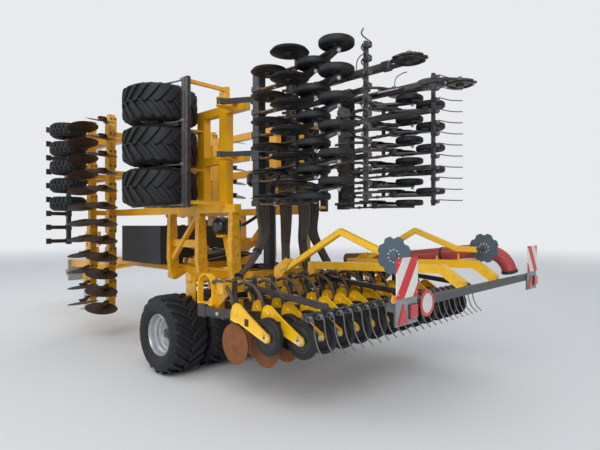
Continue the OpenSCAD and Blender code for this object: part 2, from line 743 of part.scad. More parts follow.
// Bundles of seed hoses from the head down to the toolbars, columns: angle at the head, bends and end
bundles = [
    [-139, [[-400, -620, 2130], [-450, -650, 1900], [-430, -660, 1600],
        [-620, -720, 1330], [-900, -790, 1130], [-1080, -850, 985]]],
    [-110, [[-155, -730, 2120], [-160, -760, 1800], [-150, -750, 1500],
        [-180, -790, 1200], [-210, -840, 985]]],
    [-70, [[155, -730, 2120], [160, -760, 1800], [150, -750, 1500],
        [180, -790, 1200], [210, -840, 985]]],
    [-41, [[400, -620, 2130], [450, -650, 1900], [430, -660, 1600],
        [560, -720, 1330], [640, -790, 1130], [680, -850, 985]]]];
module seed_hoses() {
    color(slate) at_axle() for (b = bundles)
        hose(curve(concat(leaving(b[0]), b[1]), 3), 55, 10, [0.1, 1, 0]);
}

// Scalloped marker disc on its bent arm, at the side s
marker_x = 680;
module line_marker(s) {
    color(frame_yellow) at_axle() mirror([s < 0 ? 1 : 0, 0, 0]) {
        box([marker_x - 35, rear_bar_y - 50, rear_bar_z + bar_s / 2],
            [marker_x + 35, rear_bar_y + 50, rear_bar_z + bar_s / 2 + 90]);
        bar_yz(marker_x, [-2050, 1635], [rear_bar_y - 20, 1200], 60);
        bar_yz(marker_x, [-2560, 1440], [-2040, 1640], 60);
        bar_yz(marker_x, [-2780, 1450], [-2540, 1445], 40);
        rod_x(marker_x - 20, marker_x + 200, -2760, 1450, 18);
        translate([marker_x + 200, -2760, 1450]) rotate([0, 90, 0]) difference() {
            union() {
                cylinder(h = 6, r = 160);
                translate([0, 0, -25]) cylinder(h = 50, r = 35);
            }
            for (k = [0 : 7])
                rotate([0, 0, k * 45]) translate([172, 0, -1]) cylinder(h = 8, r = 32);
        }
    }
}

// Fold cylinder of a side: the barrel on its post's pin and the rod to the crank of the wing
function crank_folded() = [fold_x - (crank[1] - fold_z), fold_z + crank[0] - fold_x];
cyl_len = norm(crank_folded() - cyl_pin);
cyl_tilt = atan2(crank_folded()[1] - cyl_pin[1], crank_folded()[0] - cyl_pin[0]);
rod_r = 28;
barrel_len = 790;
module along_cylinder(side) {
    y = side < 0 ? cyl_y[1] : cyl_y[0];
    at_axle() mirror([side < 0 ? 1 : 0, 0, 0])
        translate([cyl_pin[0], y, cyl_pin[1]]) rotate([0, 90 - cyl_tilt, 0]) children();
}

module fold_barrel(side) {
    color(slate) along_cylinder(side) difference() {
        union() {
            translate([0, 0, 30]) cylinder(h = barrel_len - 30, r = 50);
            rotate([90, 0, 0]) cylinder(h = 80, r = 40, center = true);
            translate([-30, -40, 0]) cube([60, 80, 50]);
        }
        translate([0, 0, 60]) cylinder(h = barrel_len, r = rod_r + fit);
        rotate([90, 0, 0]) cylinder(h = 120, r = cyl_pin_r + fit, center = true);
    }
}

module fold_rod(side) {
    color(silver) along_cylinder(side) {
        translate([0, 0, 80]) cylinder(h = cyl_len - 80, r = rod_r);
        translate([0, 0, cyl_len]) rotate([90, 0, 0]) cylinder(h = 60, r = 40, center = true);
    }
}

// Bout marker on its pedestal: square arm, bent strap and toothed wheel
bout_u = 2800;
bout_y = rear_bar_y - 60;
bout_z = rear_bar_z + bar_s / 2 + 70;
module bout_marker(side) {
    color(slate) at_axle() folded(side) {
        translate([bout_u, bout_y + 60, bout_z - 35]) cylinder(h = 90, r = 45);
        box([bout_u - 35, bout_y - 1120, bout_z - 35], [bout_u + 35, bout_y + 40, bout_z + 35]);
        box([bout_u - 20, bout_y - 1250, bout_z + 35], [bout_u + 20, bout_y - 1040, bout_z + 60]);
        plate_yz(bout_u - 20, 40, [[bout_y - 1250, bout_z + 60], [bout_y - 1250, bout_z + 20],
            [bout_y - 1370, bout_z - 120], [bout_y - 1410, bout_z - 100], [bout_y - 1280, bout_z + 60]]);
        translate([bout_u - 60, bout_y - 1390, bout_z - 120]) rotate([0, 90, 0]) {
            cylinder(h = 90, r = 40);
            difference() {
                cylinder(h = 40, r = 165);
                for (k = [0 : 7])
                    rotate([0, 0, k * 45]) translate([180, 0, -1]) cylinder(h = 42, r = 35);
            }
        }
    }
}

// Pedestal pin of the bout marker on the rear toolbar
module bout_pin() {
    translate([bout_u, bout_y + 60, rear_bar_z + bar_s / 2]) {
        cylinder(h = bout_z - 35 - rear_bar_z - bar_s / 2 - 0.3, r = 45);
    }
}

centre_frame();
drawbar();
hitch_head();
jack_leg();
equipment_box();
seed_tower();
seed_hoses();
packer_left();
packer_right();
lift_arms_centre();
seed_bars_centre();
coulters_centre();
rear_frame();
harrow_centre();
warning_boards();
lamp_beam();
air_hose();
line_marker(-1);  // line_marker_left
line_marker(1);  // line_marker_right
fold_barrel(-1);  // fold_barrel_left
fold_rod(-1);  // fold_rod_left
fold_barrel(1);  // fold_barrel_right
fold_rod(1);  // fold_rod_right
wing_arms(-1);  // wing_arms_left
wing_frame(-1);  // wing_frame_left
wing_packer(-1);  // wing_packer_left
gang_discs_wing(-1);  // gang_discs_left
front_tyres(-1);  // front_tyres_left
levelling_bar(-1);  // levelling_bar_left
lift_arms_wing(-1);  // lift_arms_left
seed_bars_wing(-1);  // seed_bars_left
coulters_wing(-1);  // coulters_left
harrow_wing(-1);  // harrow_left
bout_marker(-1);  // bout_marker_left
wing_arms(1);  // wing_arms_right
wing_frame(1);  // wing_frame_right
wing_packer(1);  // wing_packer_right
gang_discs_wing(1);  // gang_discs_right
front_tyres(1);  // front_tyres_right
levelling_bar(1);  // levelling_bar_right
lift_arms_wing(1);  // lift_arms_right
seed_bars_wing(1);  // seed_bars_right
coulters_wing(1);  // coulters_right
harrow_wing(1);  // harrow_right
bout_marker(1);  // bout_marker_right
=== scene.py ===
# %% [markdown]
# # A folded seed drill, dressed over its CAD frame
# The drill was drawn as exact solids first. This lesson puts its looks over that frame:
# rubber with lugs, chipped amber paint, rusty discs, ribbed hoses and striped boards.
# Every piece is drawn in metres in the frame's own place, so nothing has to be fitted.

# %% Load the frame and keep its box
import math

import bpy
from mathutils import Matrix, Vector


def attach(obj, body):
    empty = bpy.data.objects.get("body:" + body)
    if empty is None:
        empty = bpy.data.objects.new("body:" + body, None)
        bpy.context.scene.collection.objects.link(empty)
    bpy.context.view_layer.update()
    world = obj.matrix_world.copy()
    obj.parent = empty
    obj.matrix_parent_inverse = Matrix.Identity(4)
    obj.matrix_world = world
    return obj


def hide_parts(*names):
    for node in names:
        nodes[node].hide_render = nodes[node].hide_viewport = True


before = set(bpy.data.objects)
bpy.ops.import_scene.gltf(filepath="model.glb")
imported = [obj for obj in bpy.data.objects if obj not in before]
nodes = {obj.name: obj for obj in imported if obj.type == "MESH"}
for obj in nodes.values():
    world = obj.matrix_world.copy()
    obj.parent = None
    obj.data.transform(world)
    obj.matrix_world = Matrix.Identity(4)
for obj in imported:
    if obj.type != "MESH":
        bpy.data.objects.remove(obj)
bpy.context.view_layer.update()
print("frame loaded with", len(nodes), "nodes")

# %% [markdown]
# The machine's own measures start at its packer axle, which lies behind the origin. A wing
# is easiest to draw as it works: u is the distance from the middle, y runs forward and h is
# the height. Two matrices carry such a drawing to its place in the frame. The one for the
# left wing mirrors it, so that mesh gets its faces turned round again.

# %% Places of the centre and of the folded wings
AXLE_Y = -1.585
FOLD_X, FOLD_Z = 1.6, 0.4  # where the soil line and the inner end of a folded wing stand
CENTRE = Matrix.Translation((0, AXLE_Y, 0))
SIDES = (("left", -1), ("right", 1))
ORIGIN, X_AXIS, Y_AXIS, Z_AXIS = (0, 0, 0), (1, 0, 0), (0, 1, 0), (0, 0, 1)
QUARTER_Y = Matrix.Rotation(math.radians(90), 4, "Y")


def wing_place(side):
    return Matrix(((0, 0, -side, side * FOLD_X), (0, 1, 0, AXLE_Y), (1, 0, 0, FOLD_Z),
                   (0, 0, 0, 1)))


def shift(x=0.0, y=0.0, z=0.0):
    return Matrix.Translation((x, y, z))


def deselect():
    if bpy.context.mode != "OBJECT":
        bpy.ops.object.mode_set(mode="OBJECT")
    bpy.ops.object.select_all(action="DESELECT")


def active(obj):
    deselect()
    obj.select_set(True)
    bpy.context.view_layer.objects.active = obj
    return obj


def placed(obj, matrix):
    """Moves the mesh itself, so that the object stays at the origin."""
    obj.data.transform(matrix)
    if matrix.determinant() < 0:
        obj.data.flip_normals()
    obj.data.update()
    return obj


print("the packer axle lies at y =", AXLE_Y)

# %% [markdown]
# The hand tools: each one adds a primitive at its size and place and shapes it in edit mode.
# A box gets its edges broken by a bevel. A plate is a filled circle whose corners are moved
# to an outline and which is then extruded.

# %% Hand tools for boxes and plates
def named(name, material):
    obj = bpy.context.active_object
    bpy.ops.object.transform_apply(location=True, rotation=True, scale=True)
    obj.name = name
    obj.data.materials.append(material)
    return obj


def edit_all():
    bpy.ops.object.mode_set(mode="EDIT")
    bpy.ops.mesh.select_all(action="SELECT")


def turn_outward():
    """Turns every face outward and leaves edit mode."""
    bpy.ops.mesh.select_all(action="SELECT")
    bpy.ops.mesh.normals_make_consistent(inside=False)
    bpy.ops.object.mode_set(mode="OBJECT")


def broken_edges(obj, width, angle=40):
    active(obj)
    mod = obj.modifiers.new("edges", "BEVEL")
    mod.width, mod.segments, mod.limit_method = width, 1, "ANGLE"
    mod.angle_limit = math.radians(angle)
    bpy.ops.object.modifier_apply(modifier=mod.name)
    return obj


def box(name, low, high, material, edge=0.004):
    deselect()
    low, high = Vector(low), Vector(high)
    bpy.ops.mesh.primitive_cube_add(size=1, location=(low + high) / 2, scale=high - low)
    obj = named(name, material)
    return broken_edges(obj, edge) if edge else obj


AXES = {
    "x": lambda a, b, c: (c, a, b),
    "y": lambda a, b, c: (a, c, b),
    "z": lambda a, b, c: (a, b, c),
}


def plate(name, outline, axis, start, end, material, edge=0.003):
    """Outline is drawn in the two other axes in their usual order: yz, xz or xy."""
    deselect()
    bpy.ops.mesh.primitive_circle_add(vertices=len(outline), fill_type="NGON")
    obj = named(name, material)
    for v, (a, b) in zip(obj.data.vertices, outline):
        v.co = AXES[axis](a, b, start)
    edit_all()
    step = AXES[axis](0, 0, end - start)
    bpy.ops.mesh.extrude_region_move(TRANSFORM_OT_translate={"value": step})
    turn_outward()
    return broken_edges(obj, edge) if edge else obj


print("tools for boxes and plates are ready")

# %% [markdown]
# A turned piece is an outline that is spun. A rod is a cylinder laid between two points, and
# bent wire or hose is a curve with a round section that becomes a mesh.

# %% Hand tools for turned pieces, rods and bent wire
def smoothed(obj, angle):
    active(obj)
    bpy.ops.object.shade_smooth_by_angle(angle=math.radians(angle))
    return obj


def laid_along(obj, spot, direction):
    """Moves the mesh to the spot and turns its z axis to the direction."""
    turn = Vector(Z_AXIS).rotation_difference(Vector(direction)).to_matrix().to_4x4()
    return placed(obj, Matrix.Translation(spot) @ turn)


def turned(name, outline, centre, axis, material, steps=32, smooth=35):
    """Outline is (radius, distance along the axis), closed, and is spun about the axis."""
    deselect()
    bpy.ops.mesh.primitive_circle_add(vertices=len(outline), fill_type="NOTHING")
    obj = named(name, material)
    for v, (radius, height) in zip(obj.data.vertices, outline):
        v.co = (radius, 0, height)
    edit_all()
    bpy.ops.mesh.spin(steps=steps, angle=math.tau, center=ORIGIN, axis=Z_AXIS)
    bpy.ops.mesh.select_all(action="SELECT")
    bpy.ops.mesh.remove_doubles(threshold=1e-5)
    bpy.ops.mesh.dissolve_degenerate(threshold=1e-6)
    turn_outward()
    return smoothed(laid_along(obj, centre, axis), smooth)


def rod(name, p, q, radius, material, sides=16, edge=0.002):
    deselect()
    p, q = Vector(p), Vector(q)
    bpy.ops.mesh.primitive_cylinder_add(vertices=sides, radius=radius, depth=(q - p).length)
    obj = laid_along(named(name, material), (p + q) / 2, q - p)
    if edge:
        broken_edges(obj, min(edge, radius * 0.4))
    return smoothed(obj, 40)


def rod_x(name, start, end, spot, radius, material, **options):
    """A rod across the machine from x = start to x = end, at the spot (y, z)."""
    return rod(name, (start, *spot), (end, *spot), radius, material, **options)


def bent(name, points, radius, material, sides=8, swell=None):
    """A round rod, spring or hose along points. Swell scales the radius at each of them."""
    data = bpy.data.curves.new(name, "CURVE")
    data.dimensions, data.use_fill_caps = "3D", True
    data.bevel_depth, data.bevel_resolution = radius, max(0, sides // 2 - 2)
    spline = data.splines.new("POLY")
    spline.points.add(len(points) - 1)
    for point, p, size in zip(spline.points, points, swell or [1.0] * len(points)):
        point.co, point.radius = (*p, 1), size
    obj = bpy.data.objects.new(name, data)
    bpy.context.scene.collection.objects.link(obj)
    active(obj)
    bpy.ops.object.convert(target="MESH")
    obj = bpy.context.active_object
    obj.data.materials.clear()
    obj.data.materials.append(material)
    return smoothed(obj, 50)


print("tools for round pieces are ready")

# %% [markdown]
# Pieces that repeat are modelled once. Each copy has its own mesh and is moved by a matrix,
# the copies are joined to a row, and the model is thrown away.

# %% Copies, rows and smooth lines
def twin(obj, matrix):
    other = obj.copy()
    other.data = obj.data.copy()
    bpy.context.scene.collection.objects.link(other)
    return placed(other, matrix)


def joined(name, parts):
    deselect()
    for part in parts:
        part.select_set(True)
    bpy.context.view_layer.objects.active = parts[0]
    if len(parts) > 1:
        bpy.ops.object.join()
    parts[0].name = name
    parts[0].data.name = name
    return parts[0]


def row_of(name, model, places):
    return joined(name, [twin(model, place) for place in places])


def throw_away(*objs):
    for obj in objs:
        bpy.data.objects.remove(obj)


def ring(count, radius, start=0.0):
    """Points spaced evenly on a circle. Start moves the first one by a part of a step."""
    angles = [math.tau * (k + start) / count for k in range(count)]
    return [(radius * math.cos(a), radius * math.sin(a)) for a in angles]


def smooth_path(points, per=6):
    """Smooth line through the points, as the hoses of the source are drawn."""
    out, pts = [], [Vector(p) for p in points]
    for i in range(len(pts) - 1):
        a, b = pts[max(i - 1, 0)], pts[i]
        c, d = pts[i + 1], pts[min(i + 2, len(pts) - 1)]
        for k in range(per):
            t = k / per
            out.append(0.5 * (2 * b + (c - a) * t + (2 * a - 5 * b + 4 * c - d) * t * t
                              + (3 * b - 3 * c + d - a) * t ** 3))
    return out + [pts[-1]]


print("tools for copies are ready")

# %% [markdown]
# The effects that many finishes share are node groups: dust that settles on faces that look
# up, paint that wears along edges, and grain. Each group puts out only colours and masks, so
# that the shader stays in the material, where the export can read it.

# %% Nodes by hand
FLOAT, COLOUR = "NodeSocketFloat", "NodeSocketColor"


def node_group(name, inputs, outputs):
    tree = bpy.data.node_groups.new(name, "ShaderNodeTree")
    for label, kind, value in inputs:
        socket = tree.interface.new_socket(label, in_out="INPUT", socket_type=kind)
        socket.default_value = value
    for label, kind in outputs:
        tree.interface.new_socket(label, in_out="OUTPUT", socket_type=kind)
    return tree, tree.nodes.new("NodeGroupInput"), tree.nodes.new("NodeGroupOutput")


def node(tree, kind, **inputs):
    """Adds a node. Names that start with i_ are its inputs, the others its settings."""
    n = tree.nodes.new(kind)
    for key, value in inputs.items():
        if key.startswith("i_"):
            n.inputs[key[2:].replace("_", " ")].default_value = value
        else:
            setattr(n, key, value)
    return n


def feed(tree, values, sockets):
    """Links each value that is an output to its socket, and writes the others into it."""
    for value, socket in zip(values, sockets):
        if hasattr(value, "is_linked"):
            tree.links.new(value, socket)
        else:
            socket.default_value = value


def object_axes(tree):
    """Object coordinates as separate X, Y and Z."""
    place, split = node(tree, "ShaderNodeTexCoord"), node(tree, "ShaderNodeSeparateXYZ")
    tree.links.new(place.outputs["Object"], split.inputs[0])
    return split.outputs


def noise_mask(tree, scale, low, high, detail=5.0, roughness=0.6):
    """Noise on Object coordinates, stretched to a mask between low and high."""
    place = node(tree, "ShaderNodeTexCoord")
    noise = node(tree, "ShaderNodeTexNoise", i_Scale=scale, i_Detail=detail,
                 i_Roughness=roughness)
    ramp = node(tree, "ShaderNodeMapRange", i_From_Min=low, i_From_Max=high)
    tree.links.new(place.outputs["Object"], noise.inputs["Vector"])
    tree.links.new(noise.outputs["Fac"], ramp.inputs["Value"])
    return ramp.outputs["Result"]


def mix_colour(tree, factor, a, b):
    n = node(tree, "ShaderNodeMix", data_type="RGBA")
    feed(tree, (factor, a, b), (n.inputs[0], n.inputs[6], n.inputs[7]))
    return n.outputs[2]


def maths(tree, operation, *values, clamp=False):
    n = node(tree, "ShaderNodeMath", operation=operation, use_clamp=clamp)
    feed(tree, values, n.inputs)
    return n.outputs[0]


print("node tools are ready")

# %% [markdown]
# Dust settles where the normal looks up, in blotches and specks. Wear shows where the mesh is
# pointed, broken up by noise, and as a few chips elsewhere.

# %% Node groups for dust, wear and grain
def dust_group():
    tree, gin, gout = node_group(
        "settled dust",
        [("Colour", COLOUR, (0.5, 0.5, 0.5, 1)), ("Dust", COLOUR, (0.3, 0.25, 0.2, 1)),
         ("Amount", FLOAT, 0.3), ("Roughness", FLOAT, 0.4)],
        [("Colour", COLOUR), ("Roughness", FLOAT)])
    blotch, speck = noise_mask(tree, 9.0, 0.35, 0.75), noise_mask(tree, 60.0, 0.4, 0.8)
    geometry, split = node(tree, "ShaderNodeNewGeometry"), node(tree, "ShaderNodeSeparateXYZ")
    tree.links.new(geometry.outputs["Normal"], split.inputs[0])
    up = maths(tree, "MULTIPLY_ADD", split.outputs["Z"], 0.35, 0.55, clamp=True)
    mask = maths(tree, "ADD", maths(tree, "MULTIPLY", blotch, 0.7),
                 maths(tree, "MULTIPLY", speck, 0.3))
    mask = maths(tree, "MULTIPLY", mask, up)
    mask = maths(tree, "MULTIPLY", mask, gin.outputs["Amount"], clamp=True)
    dusted = mix_colour(tree, mask, gin.outputs["Colour"], gin.outputs["Dust"])
    rough = maths(tree, "ADD", gin.outputs["Roughness"], maths(tree, "MULTIPLY", mask, 0.5),
                  clamp=True)
    tree.links.new(dusted, gout.inputs["Colour"])
    tree.links.new(rough, gout.inputs["Roughness"])
    return tree


def wear_group():
    tree, gin, gout = node_group(
        "worn edges",
        [("Paint", COLOUR, (0.5, 0.5, 0.5, 1)), ("Bare", COLOUR, (0.2, 0.1, 0.05, 1)),
         ("Amount", FLOAT, 0.3)],
        [("Colour", COLOUR)])
    geometry = node(tree, "ShaderNodeNewGeometry")
    edge = node(tree, "ShaderNodeMapRange", i_From_Min=0.53, i_From_Max=0.62)
    tree.links.new(geometry.outputs["Pointiness"], edge.inputs["Value"])
    patch = noise_mask(tree, 22.0, 0.42, 0.68, detail=8.0)
    chips = noise_mask(tree, 7.0, 0.66, 0.72, detail=9.0, roughness=0.75)
    rubbed = maths(tree, "MULTIPLY", edge.outputs["Result"], patch)
    mask = maths(tree, "ADD", rubbed, chips, clamp=True)
    mask = maths(tree, "MULTIPLY", mask, gin.outputs["Amount"], clamp=True)
    worn = mix_colour(tree, mask, gin.outputs["Paint"], gin.outputs["Bare"])
    tree.links.new(worn, gout.inputs["Colour"])
    return tree


def grain_group():
    tree, gin, gout = node_group("grain", [("Scale", FLOAT, 60.0), ("Depth", FLOAT, 0.5)],
                                 [("Height", FLOAT)])
    place = node(tree, "ShaderNodeTexCoord")
    noise = node(tree, "ShaderNodeTexNoise", i_Detail=4.0)
    tree.links.new(place.outputs["Object"], noise.inputs["Vector"])
    tree.links.new(gin.outputs["Scale"], noise.inputs["Scale"])
    height = maths(tree, "MULTIPLY", noise.outputs["Fac"], gin.outputs["Depth"])
    tree.links.new(height, gout.inputs["Height"])
    return tree


DUST, WEAR, GRAIN = dust_group(), wear_group(), grain_group()
print("node groups ready:", len(bpy.data.node_groups))

# %% [markdown]
# One recipe makes every plain finish: a colour that varies a little from place to place, the
# wear group over it, the dust group over that, and grain in the bump. Only its numbers differ
# between gloss paint, rubber and steel. Metallic and coat are constants on the shader.

# %% The recipe for a finish
MUD, BARE = (0.30, 0.24, 0.18), (0.13, 0.07, 0.04)
COAT_ROUGHNESS, SHADE = 0.12, 0.82  # shade: how dark the second colour is if none is given


def rgba(colour):
    return (*colour, 1)


def finish(name, colour, rough, metal=0.0, second=None, dust=0.25, dusty=MUD, wear=0.0,
           bare=BARE, grain=(60, 0.3), bump=0.12, coat=0.0, patch=5.0):
    mat = bpy.data.materials.new(name)
    mat.use_nodes = True
    tree = mat.node_tree
    link, shader = tree.links.new, tree.nodes["Principled BSDF"]
    shader.inputs["Metallic"].default_value = metal
    shader.inputs["Coat Weight"].default_value = coat
    shader.inputs["Coat Roughness"].default_value = COAT_ROUGHNESS
    second = second or [c * SHADE for c in colour]
    base = mix_colour(tree, noise_mask(tree, patch, 0.35, 0.7), rgba(colour), rgba(second))
    worn = node(tree, "ShaderNodeGroup", node_tree=WEAR, i_Bare=rgba(bare), i_Amount=wear)
    dirt = node(tree, "ShaderNodeGroup", node_tree=DUST, i_Dust=rgba(dusty), i_Amount=dust,
                i_Roughness=rough)
    relief = node(tree, "ShaderNodeGroup", node_tree=GRAIN, i_Scale=grain[0],
                  i_Depth=grain[1])
    lift = node(tree, "ShaderNodeBump", i_Strength=bump, i_Distance=0.002)
    link(base, worn.inputs["Paint"])
    link(worn.outputs["Colour"], dirt.inputs["Colour"])
    link(dirt.outputs["Colour"], shader.inputs["Base Color"])
    link(dirt.outputs["Roughness"], shader.inputs["Roughness"])
    link(relief.outputs["Height"], lift.inputs["Height"])
    link(lift.outputs["Normal"], shader.inputs["Normal"])
    return mat


def laid_over(mat, factor, colour):
    """Lays a colour over a finish's own one, under its dust."""
    tree = mat.node_tree
    dirt = next(n for n in tree.nodes if n.type == "GROUP" and n.node_tree == DUST)
    source = dirt.inputs["Colour"].links[0].from_socket
    tree.links.new(mix_colour(tree, factor, source, rgba(colour)), dirt.inputs["Colour"])
    return mat


print("recipe ready")

# %% Paint, rubber and rust
AMBER = finish("amber paint", (0.92, 0.47, 0.008), 0.32, second=(0.83, 0.38, 0.007), dust=0.15,
               dusty=(0.40, 0.22, 0.07), wear=0.45, coat=0.3)
YELLOW = finish("bright yellow paint", (1.0, 0.58, 0.006), 0.28, second=(0.96, 0.50, 0.005),
                dust=0.12, dusty=(0.50, 0.30, 0.08), wear=0.3, coat=0.35)
SLATE = finish("slate paint", (0.012, 0.014, 0.018), 0.36, second=(0.02, 0.023, 0.028), dust=0.2,
               dusty=(0.11, 0.09, 0.075), wear=0.4, bare=(0.16, 0.08, 0.04), coat=0.15)
RUBBER = finish("tyre rubber", (0.005, 0.006, 0.0075), 0.6, second=(0.009, 0.0095, 0.011),
                dust=0.12, dusty=(0.06, 0.052, 0.045), grain=(140, 0.5), bump=0.25)
BLADE = finish("black disc steel", (0.020, 0.022, 0.026), 0.34, metal=0.25,
               second=(0.034, 0.030, 0.028), dust=0.22, dusty=(0.14, 0.10, 0.07), wear=0.5,
               bare=(0.22, 0.12, 0.06))
RUSTY_LINK = finish("rusty link", (0.27, 0.13, 0.05), 0.6, metal=0.2, second=(0.12, 0.06, 0.03),
                    dust=0.3, dusty=(0.34, 0.20, 0.10), grain=(90, 0.8), bump=0.3, patch=11.0)
DRY_RUST = finish("dry rust", (0.30, 0.10, 0.03), 0.75, metal=0.2, second=(0.17, 0.06, 0.025),
                  dust=0.35, dusty=(0.36, 0.17, 0.08), grain=(90, 0.8), bump=0.35, patch=9.0)
DARK_RUST = finish("dark rust", (0.075, 0.036, 0.019), 0.55, metal=0.35,
                   second=(0.028, 0.021, 0.019), dust=0.3, dusty=(0.22, 0.13, 0.075),
                   grain=(90, 0.8), bump=0.3, patch=7.0)
print("finishes so far:", len(bpy.data.materials))

# %% Bare metal, sheet, hoses and lamps
STEEL = finish("dull steel", (0.20, 0.205, 0.21), 0.42, metal=0.85, dust=0.25, grain=(120, 0.4))
ZINC = finish("zinc plate", (0.62, 0.63, 0.64), 0.3, metal=0.9, dust=0.2, dusty=(0.3, 0.27, 0.23))
RIM = finish("silver rim paint", (0.50, 0.52, 0.54), 0.33, metal=0.45, dust=0.3,
             dusty=(0.2, 0.18, 0.16), wear=0.3, coat=0.3)
BARREL = finish("gloss black paint", (0.012, 0.013, 0.016), 0.16, dust=0.15, coat=0.6)
SHEET = finish("dark grey sheet", (0.028, 0.032, 0.038), 0.42, dust=0.25,
               dusty=(0.11, 0.095, 0.08))
BEAM_GREY = finish("dark beam grey", (0.085, 0.09, 0.095), 0.5, dust=0.25,
                   dusty=(0.20, 0.17, 0.14))
BLUE_STEEL = finish("blue-grey disc paint", (0.085, 0.13, 0.17), 0.45, metal=0.2, dust=0.3,
                    dusty=(0.2, 0.18, 0.15))
HOSE = finish("brown-black hose", (0.034, 0.027, 0.023), 0.4, second=(0.06, 0.043, 0.033),
              dust=0.45, dusty=(0.20, 0.14, 0.10), coat=0.1)
THIN_HOSE = finish("black hose", (0.013, 0.013, 0.015), 0.32, dust=0.2, dusty=(0.12, 0.09, 0.07))
TAN_HOSE = finish("tan seed hose", (0.085, 0.058, 0.038), 0.42, second=(0.045, 0.034, 0.028),
                  dust=0.3, dusty=(0.24, 0.17, 0.11), patch=8.0)
PALE = finish("pale paint", (0.72, 0.71, 0.68), 0.45, dust=0.3, dusty=(0.35, 0.3, 0.25))
RED_LENS = finish("red lens", (0.60, 0.008, 0.012), 0.15, second=(0.5, 0.005, 0.008), dust=0.1,
                  coat=0.8, grain=(400, 1.0), bump=0.3)
ORANGE_LENS = finish("orange lens", (0.95, 0.22, 0.01), 0.2, dust=0.1, coat=0.8, grain=(400, 1.0),
                     bump=0.3)
LAMP_GREY = finish("lamp plate grey", (0.32, 0.33, 0.34), 0.5, dust=0.3)
print("finishes ready:", len(bpy.data.materials))

# %% [markdown]
# ## The packer tyres
# The machine rolls on a row of broad farm tyres. The carcass is an outline spun about the
# axle. A lug is a strip of a grid, extruded and laid round the tread, from the middle out to
# the shoulder; the two sides are staggered by half a pitch.

# %% Tools for tread
LUG_START, LUG_FOOT = -0.012, 0.008  # a little past the middle, and sunk into the carcass


def both_sides(half):
    return half + [(r, -x) for r, x in reversed(half)]


def track(x, table):
    """Radius at the distance x from the tyre's middle, straight between the table's rows."""
    for (x1, r1), (x2, r2) in zip(table, table[1:]):
        if x <= x2:
            return r1 + (r2 - r1) * (x - x1) / (x2 - x1)
    return table[-1][1]


def tread_bar(name, outer, inner, reach, sweep, width, tip_width, cuts=5):
    """A lug from the middle of the tread to its shoulder, wrapped round the axle (X)."""
    deselect()
    bpy.ops.mesh.primitive_grid_add(x_subdivisions=cuts, y_subdivisions=1, size=1)
    obj = named(name, RUBBER)
    edit_all()
    bpy.ops.mesh.extrude_region_move(TRANSFORM_OT_translate={"value": (0, 0, 1)})
    turn_outward()
    for v in obj.data.vertices:
        t, edge, top = v.co.x + 0.5, v.co.y * 2, v.co.z > 0.5
        x = LUG_START + (reach - LUG_START) * t
        radius = track(abs(x), outer) if top else track(abs(x), inner) - LUG_FOOT
        along = -sweep * t ** 0.85 + edge * (tip_width if top else width) / 2
        angle = along / track(0, outer)
        v.co = (x, radius * math.cos(angle), radius * math.sin(angle))
    obj.data.update()
    return obj


def lugged(name, carcass, bar, count):
    """Lugs all round on both sides of the middle, the second side staggered."""
    mirror = Matrix.Diagonal((-1, 1, 1, 1))
    places = []
    for k in range(count):
        places.append(Matrix.Rotation(math.tau * k / count, 4, "X"))
        places.append(Matrix.Rotation(math.tau * (k + 0.5) / count, 4, "X") @ mirror)
    bars = smoothed(row_of(name, bar, places), 25)
    throw_away(bar)
    return joined(name, [carcass, bars])


print("tread tools ready")

# %% [markdown]
# One packer wheel is modelled, with its stepped silver rim and its square black hub. The
# tables give the distance from the middle and the radius, once for the carcass and once for
# the tips of the lugs. The outlines give the radius and the distance from the middle.

# %% Carcass, lugs and rim of one packer wheel
TREAD = [(0.0, 0.418), (0.08, 0.417), (0.15, 0.412), (0.19, 0.404), (0.215, 0.375),
         (0.225, 0.345)]
TIPS = [(0.0, 0.450), (0.10, 0.449), (0.165, 0.445), (0.195, 0.432), (0.216, 0.400),
        (0.2245, 0.352)]
WALL = both_sides([(0.222, 0.150), (0.236, 0.172), (0.262, 0.198), (0.305, 0.216),
                   (0.345, 0.221), (0.378, 0.212), (0.404, 0.188), (0.412, 0.15),
                   (0.418, 0.07)])
RIM_STEPS = both_sides([(0.238, 0.176), (0.230, 0.180), (0.222, 0.168), (0.216, 0.148),
                        (0.210, 0.118), (0.196, 0.108), (0.186, 0.100), (0.180, 0.072),
                        (0.160, 0.062), (0.150, 0.038), (0.112, 0.030), (0.070, 0.034),
                        (0.0, 0.034)])
lug = tread_bar("lug", TIPS, TREAD, 0.2243, 0.20, 0.060, 0.040)
carcass = turned("carcass", WALL, ORIGIN, X_AXIS, RUBBER, steps=56)
big_tyre = lugged("big_tyre", carcass, broken_edges(lug, 0.004, angle=50), 20)
hub = [box("hub", (x, -0.048, -0.048), (x + 0.053, 0.048, 0.048), SLATE, 0.008)
       for x in (-0.085, 0.032)]
nuts = [rod_x("nut", -0.048, 0.048, p, 0.012, ZINC, sides=6) for p in ring(8, 0.088, 0.5)]
valve = rod("valve", (0.10, 0.17, 0.05), (0.155, 0.188, 0.05), 0.005, ZINC, sides=8)
big_rim = turned("big_rim", RIM_STEPS, ORIGIN, X_AXIS, RIM, steps=48, smooth=28)
big_rim = joined("big_rim", [big_rim, *hub, *nuts, valve])
print("packer wheel:", len(big_tyre.data.polygons), "tyre faces and",
      len(big_rim.data.polygons), "rim faces")

# %% [markdown]
# Each row of wheels is made of copies on one shaft: three to a side under the centre, three
# under each wing. A row turns on its own body, tyres and rims together.

# %% Rows of packer wheels in the centre and on the wings
TYRE_R, TYRE_PITCH, WING_PACKER_Y = 0.45, 0.5, 0.45
MIDDLE_U = 2.25  # the middle of a wing, measured from the machine's middle


